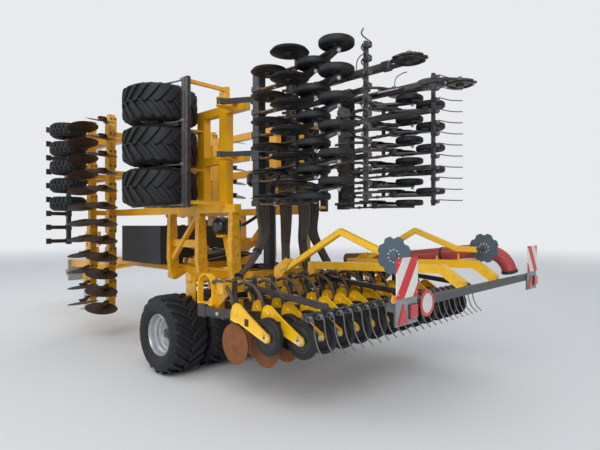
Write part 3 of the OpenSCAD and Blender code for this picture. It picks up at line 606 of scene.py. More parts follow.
def wheel_row(wheel, names, place, across, y, h, shaft):
    """Copies of a wheel with their shaft, which is (start, end, radius, finish, sides)."""
    spots = [place @ shift(u, y, h) for u in across]
    tyres, rims = [row_of(name, model, spots) for name, model in zip(names, wheel)]
    start, end, radius, material, sides = shaft
    axle = placed(rod_x("shaft", start, end, (y, h), radius, material, sides=sides), place)
    return tyres, joined(names[1], [rims, axle])


for tag, side in SIDES:
    tyres, rims = wheel_row(
        (big_tyre, big_rim), (f"packer_tyres_{tag}", f"packer_rims_{tag}"), CENTRE,
        [side * TYRE_PITCH * k for k in (0.5, 1.5, 2.5)], 0, TYRE_R,
        (side * 0.005, side * 1.30, 0.04, SLATE, 24))
    for piece in (tyres, rims):
        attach(piece, f"centre_packer_{tag}")
    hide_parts(f"packer_{tag}")
    tyres, rims = wheel_row(
        (big_tyre, big_rim), (f"wing_packer_tyres_{tag}", f"wing_packer_rims_{tag}"),
        wing_place(side), [MIDDLE_U + TYRE_PITCH * k for k in (-1, 0, 1)],
        WING_PACKER_Y, TYRE_R, (1.75, 2.75, 0.04, SLATE, 24))
    for piece in (tyres, rims):
        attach(piece, f"wing_packer_{tag}")
    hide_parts(f"wing_packer_{tag}")
throw_away(big_tyre, big_rim)
print("packer rows placed")

# %% [markdown]
# ## The small front tyres
# Each wing carries five narrow tyres ahead of its disc gangs. Their tread is two staggered
# rows of slanted blocks, made by the same tool with a short sweep.

# %% Small front tyres
FRONT_Y, FRONT_H, FRONT_PITCH = 3.35, 0.40, 0.3
SMALL_WALL = both_sides([(0.098, 0.085), (0.105, 0.098), (0.150, 0.112), (0.205, 0.114),
                         (0.240, 0.104), (0.258, 0.07)])
SMALL_RIM = both_sides([(0.107, 0.088), (0.098, 0.090), (0.09, 0.06), (0.06, 0.03),
                        (0.03, 0.05), (0.0, 0.05)])
SMALL_TREAD = [(0.0, 0.259), (0.07, 0.258), (0.104, 0.240), (0.113, 0.215)]
SMALL_TIPS = [(0.0, 0.280), (0.06, 0.279), (0.09, 0.268), (0.108, 0.245), (0.1145, 0.222)]
block = tread_bar("block", SMALL_TIPS, SMALL_TREAD, 0.1142, 0.045, 0.050, 0.040, cuts=3)
carcass = turned("carcass", SMALL_WALL, ORIGIN, X_AXIS, RUBBER, steps=40)
small_tyre = lugged("small_tyre", carcass, broken_edges(block, 0.003, angle=50), 24)
small_rim = turned("small_rim", SMALL_RIM, ORIGIN, X_AXIS, SLATE)
for tag, side in SIDES:
    tyres, rims = wheel_row(
        (small_tyre, small_rim), (f"front_tyre_row_{tag}", f"front_rims_{tag}"),
        wing_place(side), [MIDDLE_U + FRONT_PITCH * k for k in (-2, -1, 0, 1, 2)],
        FRONT_Y, FRONT_H, (1.65, 2.85, 0.025, STEEL, 16))
    for piece in (tyres, rims):
        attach(piece, f"front_tyres_{tag}")
    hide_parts(f"front_tyres_{tag}")
throw_away(small_tyre, small_rim)
print("front tyres placed")

# %% [markdown]
# ## The disc gangs
# Flat rusty discs hang under two beams on cast arms. Long yellow clamps with four bolts sit
# round each beam, one for every two arms. The disc is spun, with a thin worn rim and a bolted
# hub; the arm is a plate with soft edges. The two beams turn their discs opposite ways.

# %% One disc with its arm, and its clamp
GANG_Y, GANG_H, DISC_H, TRAIL = (3.0, 2.3), 0.65, 0.38, 0.30
DISC_LEAN = (15, -15)
CLAMP_HALF = (0.10, 0.14)  # half the length of a clamp on the front and the rear beam
CLAMP_STEEL = (("bolt", 0.092, 0.011, 6), ("washer", 0.082, 0.017, 12))
GANG_DISC = [(0.0, -0.0495), (0.05, -0.0495), (0.06, -0.053), (0.165, -0.053),
             (0.190, -0.0495), (0.2248, -0.0465), (0.2248, -0.0450), (0.186, -0.044),
             (0.160, -0.047), (0.065, -0.047), (0.05, -0.043), (0.0, -0.043)]
GANG_BOSS = [(0.0, -0.05), (0.040, -0.05), (0.045, -0.045), (0.045, -0.01), (0.037, -0.002),
             (0.037, 0.008), (0.022, 0.012), (0.0, 0.012)]


def gang_disc(k):
    y, yd = GANG_Y[k], GANG_Y[k] - TRAIL
    arm = plate("arm", [(y - 0.05, 0.60), (y + 0.05, 0.60), (y + 0.035, 0.565),
                        (y - 0.02, 0.52), (yd + 0.10, 0.44), (yd + 0.05, 0.335),
                        (yd - 0.035, 0.335), (yd - 0.04, 0.415), (yd + 0.02, 0.47),
                        (y - 0.09, 0.545)], "x", -0.012, 0.012, DARK_RUST, 0.005)
    web = plate("web", [(y - 0.03, 0.60), (y + 0.03, 0.60), (y - 0.03, 0.54),
                        (yd + 0.05, 0.41), (yd + 0.01, 0.43), (y - 0.07, 0.56)],
                "x", -0.024, 0.024, DARK_RUST, 0.008)
    disc = turned("disc", GANG_DISC, ORIGIN, Z_AXIS, DARK_RUST, steps=40, smooth=20)
    boss = turned("boss", GANG_BOSS, ORIGIN, Z_AXIS, DARK_RUST, steps=20)
    heads = [(0.033 * math.cos(a), 0.033 * math.sin(a)) for a in (0.4, 1.66, 2.9, 4.2, 5.4)]
    bolts = [rod("bolt", (*p, -0.058), (*p, -0.045), 0.006, STEEL, sides=6, edge=0)
             for p in heads]
    lean = Matrix.Rotation(math.radians(DISC_LEAN[k]), 4, "Z")
    wheel = joined("wheel", [disc, boss, *bolts])
    placed(wheel, shift(0, yd, DISC_H) @ lean @ QUARTER_Y)
    return joined("gang_disc", [arm, web, wheel])


def gang_clamp(k):
    y, half = GANG_Y[k], CLAMP_HALF[k]
    corners = [(-0.070, -0.066), (0.070, -0.066), (0.078, -0.03), (0.078, 0.03),
               (0.070, 0.062), (-0.070, 0.062), (-0.078, 0.03), (-0.078, -0.03)]
    parts = [plate("clamp", [(y + dy, GANG_H + dz) for dy, dz in corners],
                   "x", -half, half, AMBER, 0.006)]
    for x in (0.03 - half, half - 0.03):
        for z in (GANG_H - 0.030, GANG_H + 0.030):
            for name, reach, radius, sides in CLAMP_STEEL:
                parts.append(rod(name, (x, y - reach, z), (x, y + reach, z), radius, STEEL,
                                 sides=sides, edge=0))
    return joined("gang_clamp", parts)


discs, clamps = [gang_disc(k) for k in (0, 1)], [gang_clamp(k) for k in (0, 1)]
print("one disc has", len(discs[0].data.polygons), "faces")

# %% [markdown]
# A wing carries twelve discs on each beam. The clamps of the rear beam stand a little
# further out than those of the front beam.

# %% Gangs of both wings
disc_u = [0.125 + 0.25 * n for n in range(12)]
clamp_u = ([0.2 + 0.5 * n for n in range(6)], [0.32 + 0.5 * n for n in range(6)])
for tag, side in SIDES:
    place = wing_place(side)
    rows = [row_of("rows", disc, [place @ shift(u) for u in disc_u]) for disc in discs]
    rows = joined(f"gang_discs_{tag}_dressed", rows)
    holders = [row_of("rows", clamp, [place @ shift(u) for u in spots])
               for clamp, spots in zip(clamps, clamp_u)]
    holders = joined(f"gang_clamps_{tag}", holders)
    for piece in (rows, holders):
        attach(piece, f"wing_{tag}")
    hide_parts(f"gang_discs_{tag}")
throw_away(*discs, *clamps)
print("gangs dressed")

# %% [markdown]
# ## Levelling paddles and scraper beam
# Spring steel straps with a wider flanged plate at the end hang from a square bar ahead of
# the small tyres. Behind the packer, two black tubes carry thin scraper rods that reach
# into the gaps between the tyres.

# %% Levelling bar of each wing
front_line = [(3.945, 0.655), (3.945, 0.56), (3.938, 0.44), (3.920, 0.34), (3.902, 0.25)]
back_line = [(y - 0.010, z) for y, z in reversed(front_line)]
strap = plate("strap", front_line + back_line, "x", -0.032, 0.032, SLATE)
foot = plate("foot", [(3.904, 0.320), (3.914, 0.320), (3.902, 0.235), (3.892, 0.235)],
             "x", -0.048, 0.048, SLATE, 0.004)
flange = plate("flange", [(3.912, 0.245), (3.888, 0.240), (3.885, 0.228), (3.912, 0.232)],
               "x", -0.048, 0.048, SLATE)
grip = box("grip", (-0.05, 3.858, 0.557), (0.05, 3.952, 0.643), SLATE, 0.006)
screw = rod("screw", (0, 3.85, 0.60), (0, 3.962, 0.60), 0.012, STEEL, sides=6)
paddle = joined("paddle", [strap, foot, flange, grip, screw])


def levelling_bar(tag, side):
    parts = [row_of("paddles", paddle, [shift(1.02 + 0.24 * n) for n in range(9)]),
             box("bar", (0.96, 3.865, 0.565), (2.98, 3.935, 0.635), SLATE, 0.006)]
    for u in (2.1, 2.7):
        parts += [box("post", (u - 0.035, 3.865, 0.635), (u + 0.035, 3.935, 0.92), SLATE, 0.005),
                  box("foot", (u - 0.055, 3.86, 0.885), (u + 0.055, 3.94, 0.92), SLATE)]
    for y in (-0.235, -0.170):
        parts.append(box("tube", (1.5, y - 0.028, 0.375), (2.99, y + 0.028, 0.430), SLATE, 0.006))
    for u in (1.56, 1.9, 2.25, 2.6, 2.93):
        parts.append(box("spacer", (u - 0.02, -0.235, 0.385), (u + 0.02, -0.17, 0.42), SLATE,
                         0.003))
    return placed(joined(f"levelling_paddles_{tag}", parts), wing_place(side))


print("one paddle has", len(paddle.data.polygons), "faces")

# %% [markdown]
# A scraper rod starts in a shoe on the black tubes, dips and runs forward between two tyres.
# The rods are a piece of their own, which stands for no solid.

# %% Scraper rods, and both pieces on their wings
def scraper_rods(tag, side):
    parts = []
    for u in (1.53, 2.0, 2.5, 2.97):
        line = smooth_path([(u, -0.15, 0.40), (u, -0.02, 0.385), (u, 0.20, 0.33),
                            (u, 0.55, 0.30), (u, 0.95, 0.33)])
        parts += [bent("scraper", line, 0.010, STEEL),
                  box("shoe", (u - 0.016, -0.19, 0.37), (u + 0.016, -0.12, 0.435), STEEL)]
    return placed(joined(f"scraper_rods_{tag}", parts), wing_place(side))


for tag, side in SIDES:
    bar = levelling_bar(tag, side)
    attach(bar, f"wing_{tag}")
    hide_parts(f"levelling_bar_{tag}")
    rods = scraper_rods(tag, side)
    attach(rods, f"wing_{tag}")
throw_away(paddle)
print("paddles and scrapers placed")

# %% [markdown]
# ## The coulters
# A coulter has a link on the toolbar, a tapering arm whose end carries the press wheel on a
# pale bolt, a seed disc beside its leg, and a thin seed hose. In the centre the arms are
# bright yellow, the discs rusty and the links black. On the wings arms and discs are black
# and the links rusty. The arm is a plate whose outer face is inset, so that it reads as a
# pressed shape and not as a slab.

# %% Outlines of the coulter
ARM = [(-1.40, 0.83), (-1.405, 0.90), (-1.43, 0.965), (-1.475, 0.992), (-1.53, 0.985),
       (-1.66, 0.900), (-1.80, 0.825), (-1.912, 0.765), (-1.925, 0.735), (-1.915, 0.705),
       (-1.88, 0.695), (-1.76, 0.732), (-1.62, 0.780), (-1.52, 0.812), (-1.46, 0.812)]
LINK = [(-0.985, 0.905), (-0.985, 0.815), (-1.20, 0.815), (-1.42, 0.845), (-1.43, 0.93),
        (-1.20, 0.905)]
LEG = [(-1.20, 0.865), (-1.30, 0.875), (-1.40, 0.80), (-1.452, 0.72), (-1.435, 0.60),
       (-1.40, 0.566), (-1.364, 0.60), (-1.352, 0.70), (-1.27, 0.79)]
DROP = [(-0.99, 0.83), (-0.99, 1.15), (-1.03, 1.15), (-1.07, 0.90), (-1.06, 0.83)]
DISC = [(0.0, -0.030), (0.020, -0.030), (0.026, -0.022), (0.045, -0.020), (0.052, -0.010),
        (0.120, -0.008), (0.165, -0.006), (0.188, -0.001), (0.190, 0.001), (0.188, 0.004),
        (0.12, 0.004), (0.05, 0.006), (0.0, 0.010)]
GAUGE = [(0.120, 0.012), (0.150, 0.010), (0.168, 0.014), (0.172, 0.021), (0.168, 0.028),
         (0.150, 0.032), (0.120, 0.030)]
PRESS_TYRE = [(0.112, -0.018), (0.128, -0.026), (0.152, -0.025), (0.165, -0.012),
              (0.166, 0.007), (0.165, 0.026), (0.152, 0.039), (0.128, 0.040), (0.112, 0.032)]
PRESS_DISC = both_sides([(0.0, -0.016), (0.030, -0.018), (0.040, -0.008), (0.092, -0.006),
                         (0.100, -0.016), (0.121, -0.018)])
SEED_HOSE = [(0.0, -1.03, 1.13), (0.0, -1.13, 1.16), (0.005, -1.26, 1.12),
             (0.012, -1.35, 1.0), (0.02, -1.37, 0.86), (0.024, -1.37, 0.70)]
LONG_BOLT, SHORT_BOLT = 0.082, 0.060
FRONT_BAR_Z, REAR_BAR_Z = 0.86, 1.10
print("the arm has", len(ARM), "corners")

# %% [markdown]
# All parts of one coulter are joined to a model. The rear row hangs on a longer drop plate,
# and its clamp grips the higher toolbar.

# %% One whole coulter
def pressed(obj, inset, depth):
    """Insets the large face that looks to -x and sinks it."""
    active(obj)
    bpy.ops.object.mode_set(mode="EDIT")
    bpy.ops.mesh.select_all(action="DESELECT")
    bpy.ops.object.mode_set(mode="OBJECT")
    for poly in obj.data.polygons:
        poly.select = poly.normal.x < -0.9 and poly.area > 0.002
    bpy.ops.object.mode_set(mode="EDIT")
    bpy.ops.mesh.select_mode(type="FACE")
    bpy.ops.mesh.inset(thickness=inset, depth=-depth)
    bpy.ops.object.mode_set(mode="OBJECT")
    return obj


def coulter(arm_material, disc_material, link_material, hose_material, rear, bolt_end):
    """The bolt at the end reaches out to bolt_end, which is short next to the fold line."""
    hub, wheel = (0, -1.40, 0.60), (0, -1.86, 0.74)
    z = REAR_BAR_Z if rear else FRONT_BAR_Z
    parts = [
        pressed(plate("arm", ARM, "x", -0.054, -0.028, arm_material, 0.004), 0.014, 0.005),
        plate("link", LINK, "x", -0.050, -0.032, link_material),
        plate("leg", LEG, "x", 0.036, 0.052, SLATE),
        rod_x("cross", -0.045, 0.048, (-1.27, 0.83), 0.024, SLATE, sides=10),
        rod_x("cap", -0.059, 0.02, (-1.47, 0.905), 0.036, arm_material, edge=0.006),
        turned("disc", DISC, hub, X_AXIS, disc_material, steps=28, smooth=20),
        turned("gauge", GAUGE, hub, X_AXIS, RUBBER, steps=24),
        rod_x("axle", -0.01, 0.056, hub[1:], 0.018, STEEL, sides=8),
        turned("press_tyre", PRESS_TYRE, wheel, X_AXIS, RUBBER, steps=24),
        turned("press_disc", PRESS_DISC, wheel, X_AXIS, SHEET, steps=20),
        rod_x("press_axle", -0.054, 0.030, wheel[1:], 0.014, STEEL, sides=8),
        rod_x("end_bolt", -bolt_end, -0.028, (-1.897, 0.731), 0.017, PALE, sides=10, edge=0.004),
        rod_x("end_nut", -0.060, -0.028, (-1.86, 0.765), 0.012, ZINC, sides=6, edge=0),
        rod_x("pivot", -0.060, -0.02, (-1.20, 0.86), 0.020, ZINC, sides=8),
        box("stop", (-0.05, -1.66, 0.80), (-0.032, -1.60, 0.87), DARK_RUST, 0.003),
        box("clamp", (-0.058, -1.003, z - 0.063), (0.006, -0.877, z + 0.063), SLATE, 0.006)]
    for dz in (-0.038, 0.038):
        parts.append(rod("stud", (-0.026, -1.016, z + dz), (-0.026, -0.866, z + dz), 0.010, ZINC,
                         sides=6, edge=0))
    if rear:
        parts.append(plate("drop", DROP, "x", -0.052, -0.030, SLATE))
    parts.append(bent("hose", smooth_path(SEED_HOSE, per=3), 0.017, hose_material))
    return joined("coulter", parts)


print("coulter tools ready")

# %% [markdown]
# The coulters stand in two rows, every second one a step further back on the rear toolbar.
# The first one of each section is the one next to the fold line.

# %% Rows of coulters
ROW, STEP = 0.125, 0.28
SECTIONS = (("centre", CENTRE, 0.0, 24, "seed_centre"),
            ("left", wing_place(-1), MIDDLE_U, 12, "seed_left"),
            ("right", wing_place(1), MIDDLE_U, 12, "seed_right"))
CENTRE_PAINTS = (YELLOW, DRY_RUST, SLATE, TAN_HOSE)
WING_PAINTS = (SLATE, BLADE, RUSTY_LINK, TAN_HOSE)


def spread(middle, count):
    """Even places across a section, one row apart."""
    return [middle + ROW * (n - (count - 1) / 2) for n in range(count)]


for tag, place, middle, count, body in SECTIONS:
    us = spread(middle, count)
    rows = []
    for across, rear, bolt_end in ((us[:1], False, SHORT_BOLT), (us[2::2], False, LONG_BOLT),
                                   (us[1::2], True, LONG_BOLT)):
        model = coulter(*(CENTRE_PAINTS if tag == "centre" else WING_PAINTS), rear, bolt_end)
        spots = [place @ shift(u, -STEP if rear else 0) for u in across]
        rows.append(row_of("row", model, spots))
        throw_away(model)
    whole = joined(f"coulter_rows_{tag}", rows)
    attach(whole, body)
    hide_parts(f"coulters_{tag}")
    print(whole.name, "has", len(whole.data.polygons), "faces")

# %% [markdown]
# ## The harrow
# Each tine is one length of spring wire: a coil under the beam, then a long finger that
# curves back. A curve through a few points gets round thickness and becomes a mesh.

# %% One tine with its block
COIL_TURNS, COIL_SIDES, COIL_R = 4, 9, 0.021
coil = []
for k in range(COIL_TURNS * COIL_SIDES + 1):
    a = math.tau * k / COIL_SIDES
    coil.append((-0.022 + 0.037 * k / (COIL_TURNS * COIL_SIDES),
                 -2.345 + COIL_R * math.sin(a), 0.96 - COIL_R * math.cos(a)))
finger = smooth_path([(0.015, -2.366, 0.962), (0.015, -2.378, 0.90), (0.015, -2.393, 0.81),
                      (0.015, -2.43, 0.725), (0.015, -2.497, 0.664)], per=3)
tine = joined("tine", [bent("coil", coil, 0.0058, STEEL, sides=6),
                       bent("finger", finger, 0.0062, STEEL, sides=6),
                       box("block", (-0.020, -2.345, 0.944), (0.020, -2.276, 0.994), SLATE, 0.005),
                       rod("bolt", (0, -2.30, 0.938), (0, -2.30, 1.002), 0.007, STEEL,
                           sides=6, edge=0)])
print("one tine has", len(tine.data.polygons), "faces")

# %% [markdown]
# The tines of a section stand as close as its coulters do, on a beam that hangs on two or
# three arms.

# %% Harrow of each section
HARROW_ARM = [(-2.30, 1.045), (-2.32, 0.995), (-2.28, 0.99), (-1.27, 1.07), (-1.27, 1.12)]
HARROW_EAR = [(-1.27, 1.04), (-1.27, 1.15), (-1.34, 1.13), (-1.36, 1.05)]
for tag, place, middle, count, body in SECTIONS:
    half, arms = (1.465, (-1.18, 0.0, 1.20)) if tag == "centre" else (0.735, (1.94, 2.56))
    parts = [row_of("tines", tine, [shift(u) for u in spread(middle, count)]),
             box("beam", (middle - half, -2.320, 0.950), (middle + half, -2.280, 0.990),
                 SLATE, 0.005)]
    for x in arms:
        parts += [plate("arm", HARROW_ARM, "x", x - 0.025, x + 0.025, SLATE, 0.005),
                  plate("ear", HARROW_EAR, "x", x - 0.036, x + 0.036, SLATE),
                  rod_x("pin", x - 0.05, x + 0.05, (-1.31, 1.09), 0.014, ZINC, sides=10)]
    whole = placed(joined(f"harrow_row_{tag}", parts), place)
    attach(whole, body)
    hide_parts(f"harrow_{tag}")
throw_away(tine)
print("harrows placed")

# %% [markdown]
# ## Hoses
# The seed hoses leave the head of the tower side by side, hang like a curtain and gather at
# the toolbar. They are clamped at both ends, so they belong to the machine and aren't free
# cords. Each is ribbed: the radius of its curve swells at every rib.

# %% Hose tools and the routes of the bundles
TOWER_Y, OUTLET_Z = -0.30, 2.29


def bundle(angle, *points):
    """A bundle leaves its outlet straight out and then follows the points."""
    a = math.radians(angle)
    start = [(r * math.cos(a), TOWER_Y + r * math.sin(a), OUTLET_Z) for r in (0.3003, 0.34, 0.38)]
    return [*start, *points]


def even(line, step):
    """Points at an even distance along a line."""
    out, left = [line[0]], step
    for a, b in zip(line, line[1:]):
        length = (b - a).length
        while length >= left:
            a = a + (b - a) * (left / length)
            out.append(a)
            length, left = (b - a).length, step
        left -= length
    return out


def ribbed(name, points, radius, material, sides, depth):
    """A hose that is wider at every second point."""
    swell = [1.0 if k % 2 else 1.0 - depth for k in range(len(points))]
    return bent(name, points, radius, material, sides, swell)


BUNDLES = [
    bundle(-139, (-0.40, -0.62, 2.13), (-0.45, -0.65, 1.90), (-0.43, -0.66, 1.60),
           (-0.62, -0.72, 1.33), (-0.90, -0.79, 1.13), (-1.08, -0.85, 0.985)),
    bundle(-110, (-0.155, -0.73, 2.12), (-0.16, -0.76, 1.80), (-0.15, -0.75, 1.50),
           (-0.18, -0.79, 1.20), (-0.21, -0.84, 0.985)),
    bundle(-70, (0.155, -0.73, 2.12), (0.16, -0.76, 1.80), (0.15, -0.75, 1.50),
           (0.18, -0.79, 1.20), (0.21, -0.84, 0.985)),
    bundle(-41, (0.40, -0.62, 2.13), (0.45, -0.65, 1.90), (0.43, -0.66, 1.60),
           (0.56, -0.72, 1.33), (0.64, -0.79, 1.13), (0.68, -0.85, 0.985))]
print("bundles:", len(BUNDLES))

# %% [markdown]
# The hoses of a bundle lie in three layers. They start close together at the outlet and
# spread in the belly of the curtain, and two ties hold them near the toolbar.

# %% Seed hoses
HOSES, HOSE_R, RIB = 14, 0.0175, 0.019
LAYER, NECK, BELLY = 0.021, 0.040, 0.050
hoses, ties = [], []
for route in BUNDLES:
    middle = smooth_path(route, per=4)
    last = len(middle) - 1
    for k in range(HOSES):
        side = (2 * k - HOSES + 1) / (HOSES - 1)
        layer = LAYER * (k % 3 - 1)
        line = []
        for n, p in enumerate(middle):
            t = n / last
            belly = math.sin(math.pi * min(1, t * 1.35)) ** 0.8
            aside = Vector((side * (NECK + BELLY * belly), layer - 0.012 * belly, side * 0.02 * t))
            line.append(CENTRE @ (p + aside))
        paint = HOSE if k % 3 else TAN_HOSE
        hoses.append(ribbed("hose", even(line, RIB / 2), HOSE_R, paint, 6, 0.12))
    for t in (0.74, 0.88):
        p, q = middle[int(t * last)], middle[int(t * last) + 1]
        half = (q - p).normalized() * 0.008
        ties.append(placed(rod("tie", p - half, p + half, 0.056, THIN_HOSE, sides=14), CENTRE))
curtain = joined("seed_hose_curtain", hoses + ties)
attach(curtain, "centre")
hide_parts("seed_hoses")
print("seed hoses:", len(curtain.data.polygons), "faces")

# %% [markdown]
# The air hose is red where it is clean and brown with road dirt towards its front end. Its
# own material mixes the two along the machine, on Object coordinates.

# %% Air hose with its clamps and end ring
AIR = [(0.93, -0.84, 1.235), (0.945, -1.05, 1.245), (0.955, -1.25, 1.255),
       (0.96, -1.60, 1.285), (0.965, -2.00, 1.330), (0.97, -2.35, 1.375),
       (0.99, -2.60, 1.405), (1.04, -2.77, 1.400), (1.11, -2.865, 1.340),
       (1.16, -2.91, 1.250), (1.18, -2.925, 1.170)]
AIR_R, AIR_RIB = 0.0795, 0.017
AIR_CLAMP = [(0.079, -0.011), (0.085, -0.009), (0.085, 0.009), (0.079, 0.011)]
AIR_RING = [(0.055, -0.03), (0.083, -0.03), (0.086, -0.02), (0.086, 0.0), (0.055, 0.0)]


def hose_finish():
    mat = finish("red air hose", (0.52, 0.060, 0.065), 0.42, second=(0.42, 0.05, 0.052),
                 dust=0.3, dusty=(0.42, 0.24, 0.20), grain=(180, 0.5), coat=0.1)
    tree = mat.node_tree
    ramp = node(tree, "ShaderNodeMapRange", i_From_Min=-3.65, i_From_Max=-2.9,
                i_To_Min=0.0, i_To_Max=0.85)
    tree.links.new(object_axes(tree)["Y"], ramp.inputs["Value"])
    return laid_over(mat, ramp.outputs["Result"], (0.13, 0.055, 0.035))


points = even([CENTRE @ p for p in smooth_path(AIR)], AIR_RIB / 2)
parts = [ribbed("air_hose_ribbed", points, AIR_R, hose_finish(), 22, 0.055)]
for t in (0.22, 0.43, 0.62, 0.80):
    k = int(t * (len(points) - 1))
    step = (points[k + 1] - points[k]).normalized()
    parts.append(turned("clamp", AIR_CLAMP, points[k], step, SLATE, 28))
step = (points[-1] - points[-2]).normalized()
parts.append(turned("ring", AIR_RING, points[-1] - step * 0.004, step, SLATE, 28))
air = joined("red_air_hose", parts)
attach(air, "seed_centre")
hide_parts("air_hose")
print("air hose ribs:", len(points) // 2)

# %% [markdown]
# ## Boards and lamps
# The warning boards carry slanting red and white stripes, made from one wave of the
# coordinates across each board. The lamp plates below are grey, with a red triangle and a
# red lens. The round sign stays blank inside its red ring.

# %% Striped board finish
STRIPE_RISE, STRIPE_PITCH, STRIPE_PHASE = 0.72, 0.225, 8.75


def stripes(name, middle_x, middle_z, lean):
    mat = finish(name, (0.80, 0.78, 0.74), 0.35, second=(0.74, 0.71, 0.67), dust=0.2,
                 grain=(500, 0.6))
    tree = mat.node_tree
    axes = object_axes(tree)
    across = maths(tree, "MULTIPLY", maths(tree, "SUBTRACT", axes["X"], middle_x), lean)
    rise = maths(tree, "MULTIPLY", maths(tree, "SUBTRACT", axes["Z"], middle_z), STRIPE_RISE)
    slope = maths(tree, "MULTIPLY", maths(tree, "ADD", across, rise), 1 / STRIPE_PITCH)
    wave = maths(tree, "FRACT", maths(tree, "ADD", slope, STRIPE_PHASE))
    return laid_over(mat, maths(tree, "GREATER_THAN", wave, 0.5), (0.66, 0.012, 0.018))


print("stripe pitch:", STRIPE_PITCH, "m")

# %% [markdown]
# Everything on the boards is drawn from the face they share, FACE, backwards, and is moved to
# the frame as one piece.

# %% Boards, lamp plates, sign and reflector
BOARD_X, BOARD_Z, BOARD, FACE = (-1.25, 1.34), 1.19, 0.282, -3.10
SIGN_FACE = [(0.0, -0.006), (0.078, -0.006), (0.078, 0.0), (0.0, 0.0)]
SIGN_RING = [(0.075, -0.008), (0.099, -0.008), (0.100, -0.004), (0.100, 0.0), (0.075, 0.0)]
REFLECTOR = [(0.0, -0.009), (0.022, -0.009), (0.024, -0.006), (0.024, 0.0), (0.0, 0.0)]
REFLECTOR_RIM = [(0.0235, -0.010), (0.028, -0.008), (0.028, 0.0), (0.0235, 0.0)]
parts = []
for n, (x, lean) in enumerate(zip(BOARD_X, (-1.0, 1.0)), 1):
    paint = stripes(f"red and white stripes {n}", x, BOARD_Z + BOARD / 2, lean)
    low, high, tri, lens = x - BOARD / 2, x + BOARD / 2, x - 0.055, x + 0.07
    parts += [
        box("plate", (low, FACE - 0.0012, BOARD_Z - 0.19),
            (high, FACE - 0.0002, BOARD_Z - 0.002), LAMP_GREY, 0),
        box("board", (low, FACE - 0.0095, BOARD_Z),
            (high, FACE - 0.001, BOARD_Z + BOARD), paint, 0.0015),
        plate("triangle", [(tri - 0.065, BOARD_Z - 0.178), (tri + 0.065, BOARD_Z - 0.178),
                           (tri, BOARD_Z - 0.035)], "y", FACE - 0.012, FACE - 0.001, RED_LENS),
        box("lamp", (lens - 0.048, FACE - 0.028, BOARD_Z - 0.150),
            (lens + 0.048, FACE - 0.001, BOARD_Z - 0.055), RED_LENS, 0.008),
        box("lamp_base", (lens - 0.053, FACE - 0.018, BOARD_Z - 0.156),
            (lens + 0.053, FACE - 0.001, BOARD_Z - 0.049), SLATE, 0.006)]
    for dx, dz in ((-0.115, 0.03), (0.115, 0.03), (-0.115, 0.25), (0.115, 0.25)):
        parts.append(rod("rivet", (x + dx, FACE - 0.012, BOARD_Z + dz),
                         (x + dx, FACE - 0.008, BOARD_Z + dz), 0.006, ZINC, sides=10))
sign, low = (-0.97, FACE - 0.002, 1.12), BOARD_X[0] - BOARD / 2
spot = (low - 0.03, FACE - 0.001, 1.195)
parts += [turned("sign_face", SIGN_FACE, sign, Y_AXIS, PALE, 40),
          turned("sign_ring", SIGN_RING, sign, Y_AXIS, RED_LENS, 40),
          turned("reflector", REFLECTOR, spot, Y_AXIS, ORANGE_LENS, 28),
          turned("reflector_rim", REFLECTOR_RIM, spot, Y_AXIS, YELLOW, 28),
          box("strap", (low - 0.04, FACE, 1.185), (BOARD_X[0] - 0.02, FACE + 0.008, 1.205),
              LAMP_GREY, 0.002)]
boards = placed(joined("boards_and_lamps", parts), CENTRE)
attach(boards, "seed_centre")
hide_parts("warning_boards")
print("boards:", len(boards.data.polygons), "faces")

# %% [markdown]
# ## Line markers and bout markers
# Both kinds have an arm of bent square tube and a disc whose rim is scalloped. The scallops
# are made by pulling in the corners of a filled circle.

# %% Tools for the markers
def square_bar(name, points, half, x, material):
    """A bent square tube in the yz plane, mitred at its bends."""
    pts = [Vector(p) for p in points]
    upper, lower = [], []
    for i, p in enumerate(pts):
        before = (p - pts[i - 1]).normalized() if i else (pts[1] - p).normalized()
        after = (pts[i + 1] - p).normalized() if i < len(pts) - 1 else before
        mid = (before + after).normalized()
        normal = Vector((-mid.y, mid.x))
        reach = half / max(0.3, mid.dot(before))
        upper.append(tuple(p + normal * reach))
        lower.append(tuple(p - normal * reach))
    edge = min(0.008, half * 0.3)
    return plate(name, upper + lower[::-1], "x", x - half, x + half, material, edge)


def scalloped(name, radius, notch_at, notch_r, notches, material, thick):
    """A disc with round notches, which are circles of notch_r about points at notch_at."""
    outline = []
    for k in range(notches * 10):
        a = math.tau * k / (notches * 10)
        off = (a + math.pi / notches) % (math.tau / notches) - math.pi / notches
        inside = notch_r ** 2 - (notch_at * math.sin(off)) ** 2
        r = radius
        if inside > 0:
            r = min(radius, notch_at * math.cos(off) - math.sqrt(inside))
        outline.append((r * math.cos(a), r * math.sin(a)))
    return plate(name, outline, "z", 0.0, thick, material, 0.0015)


print("marker tools ready")

# %% [markdown]
# A line marker stands on the centre toolbar. Its disc is blue-grey, and a ring of ten small
# pale discs on it reads as a ring of holes.

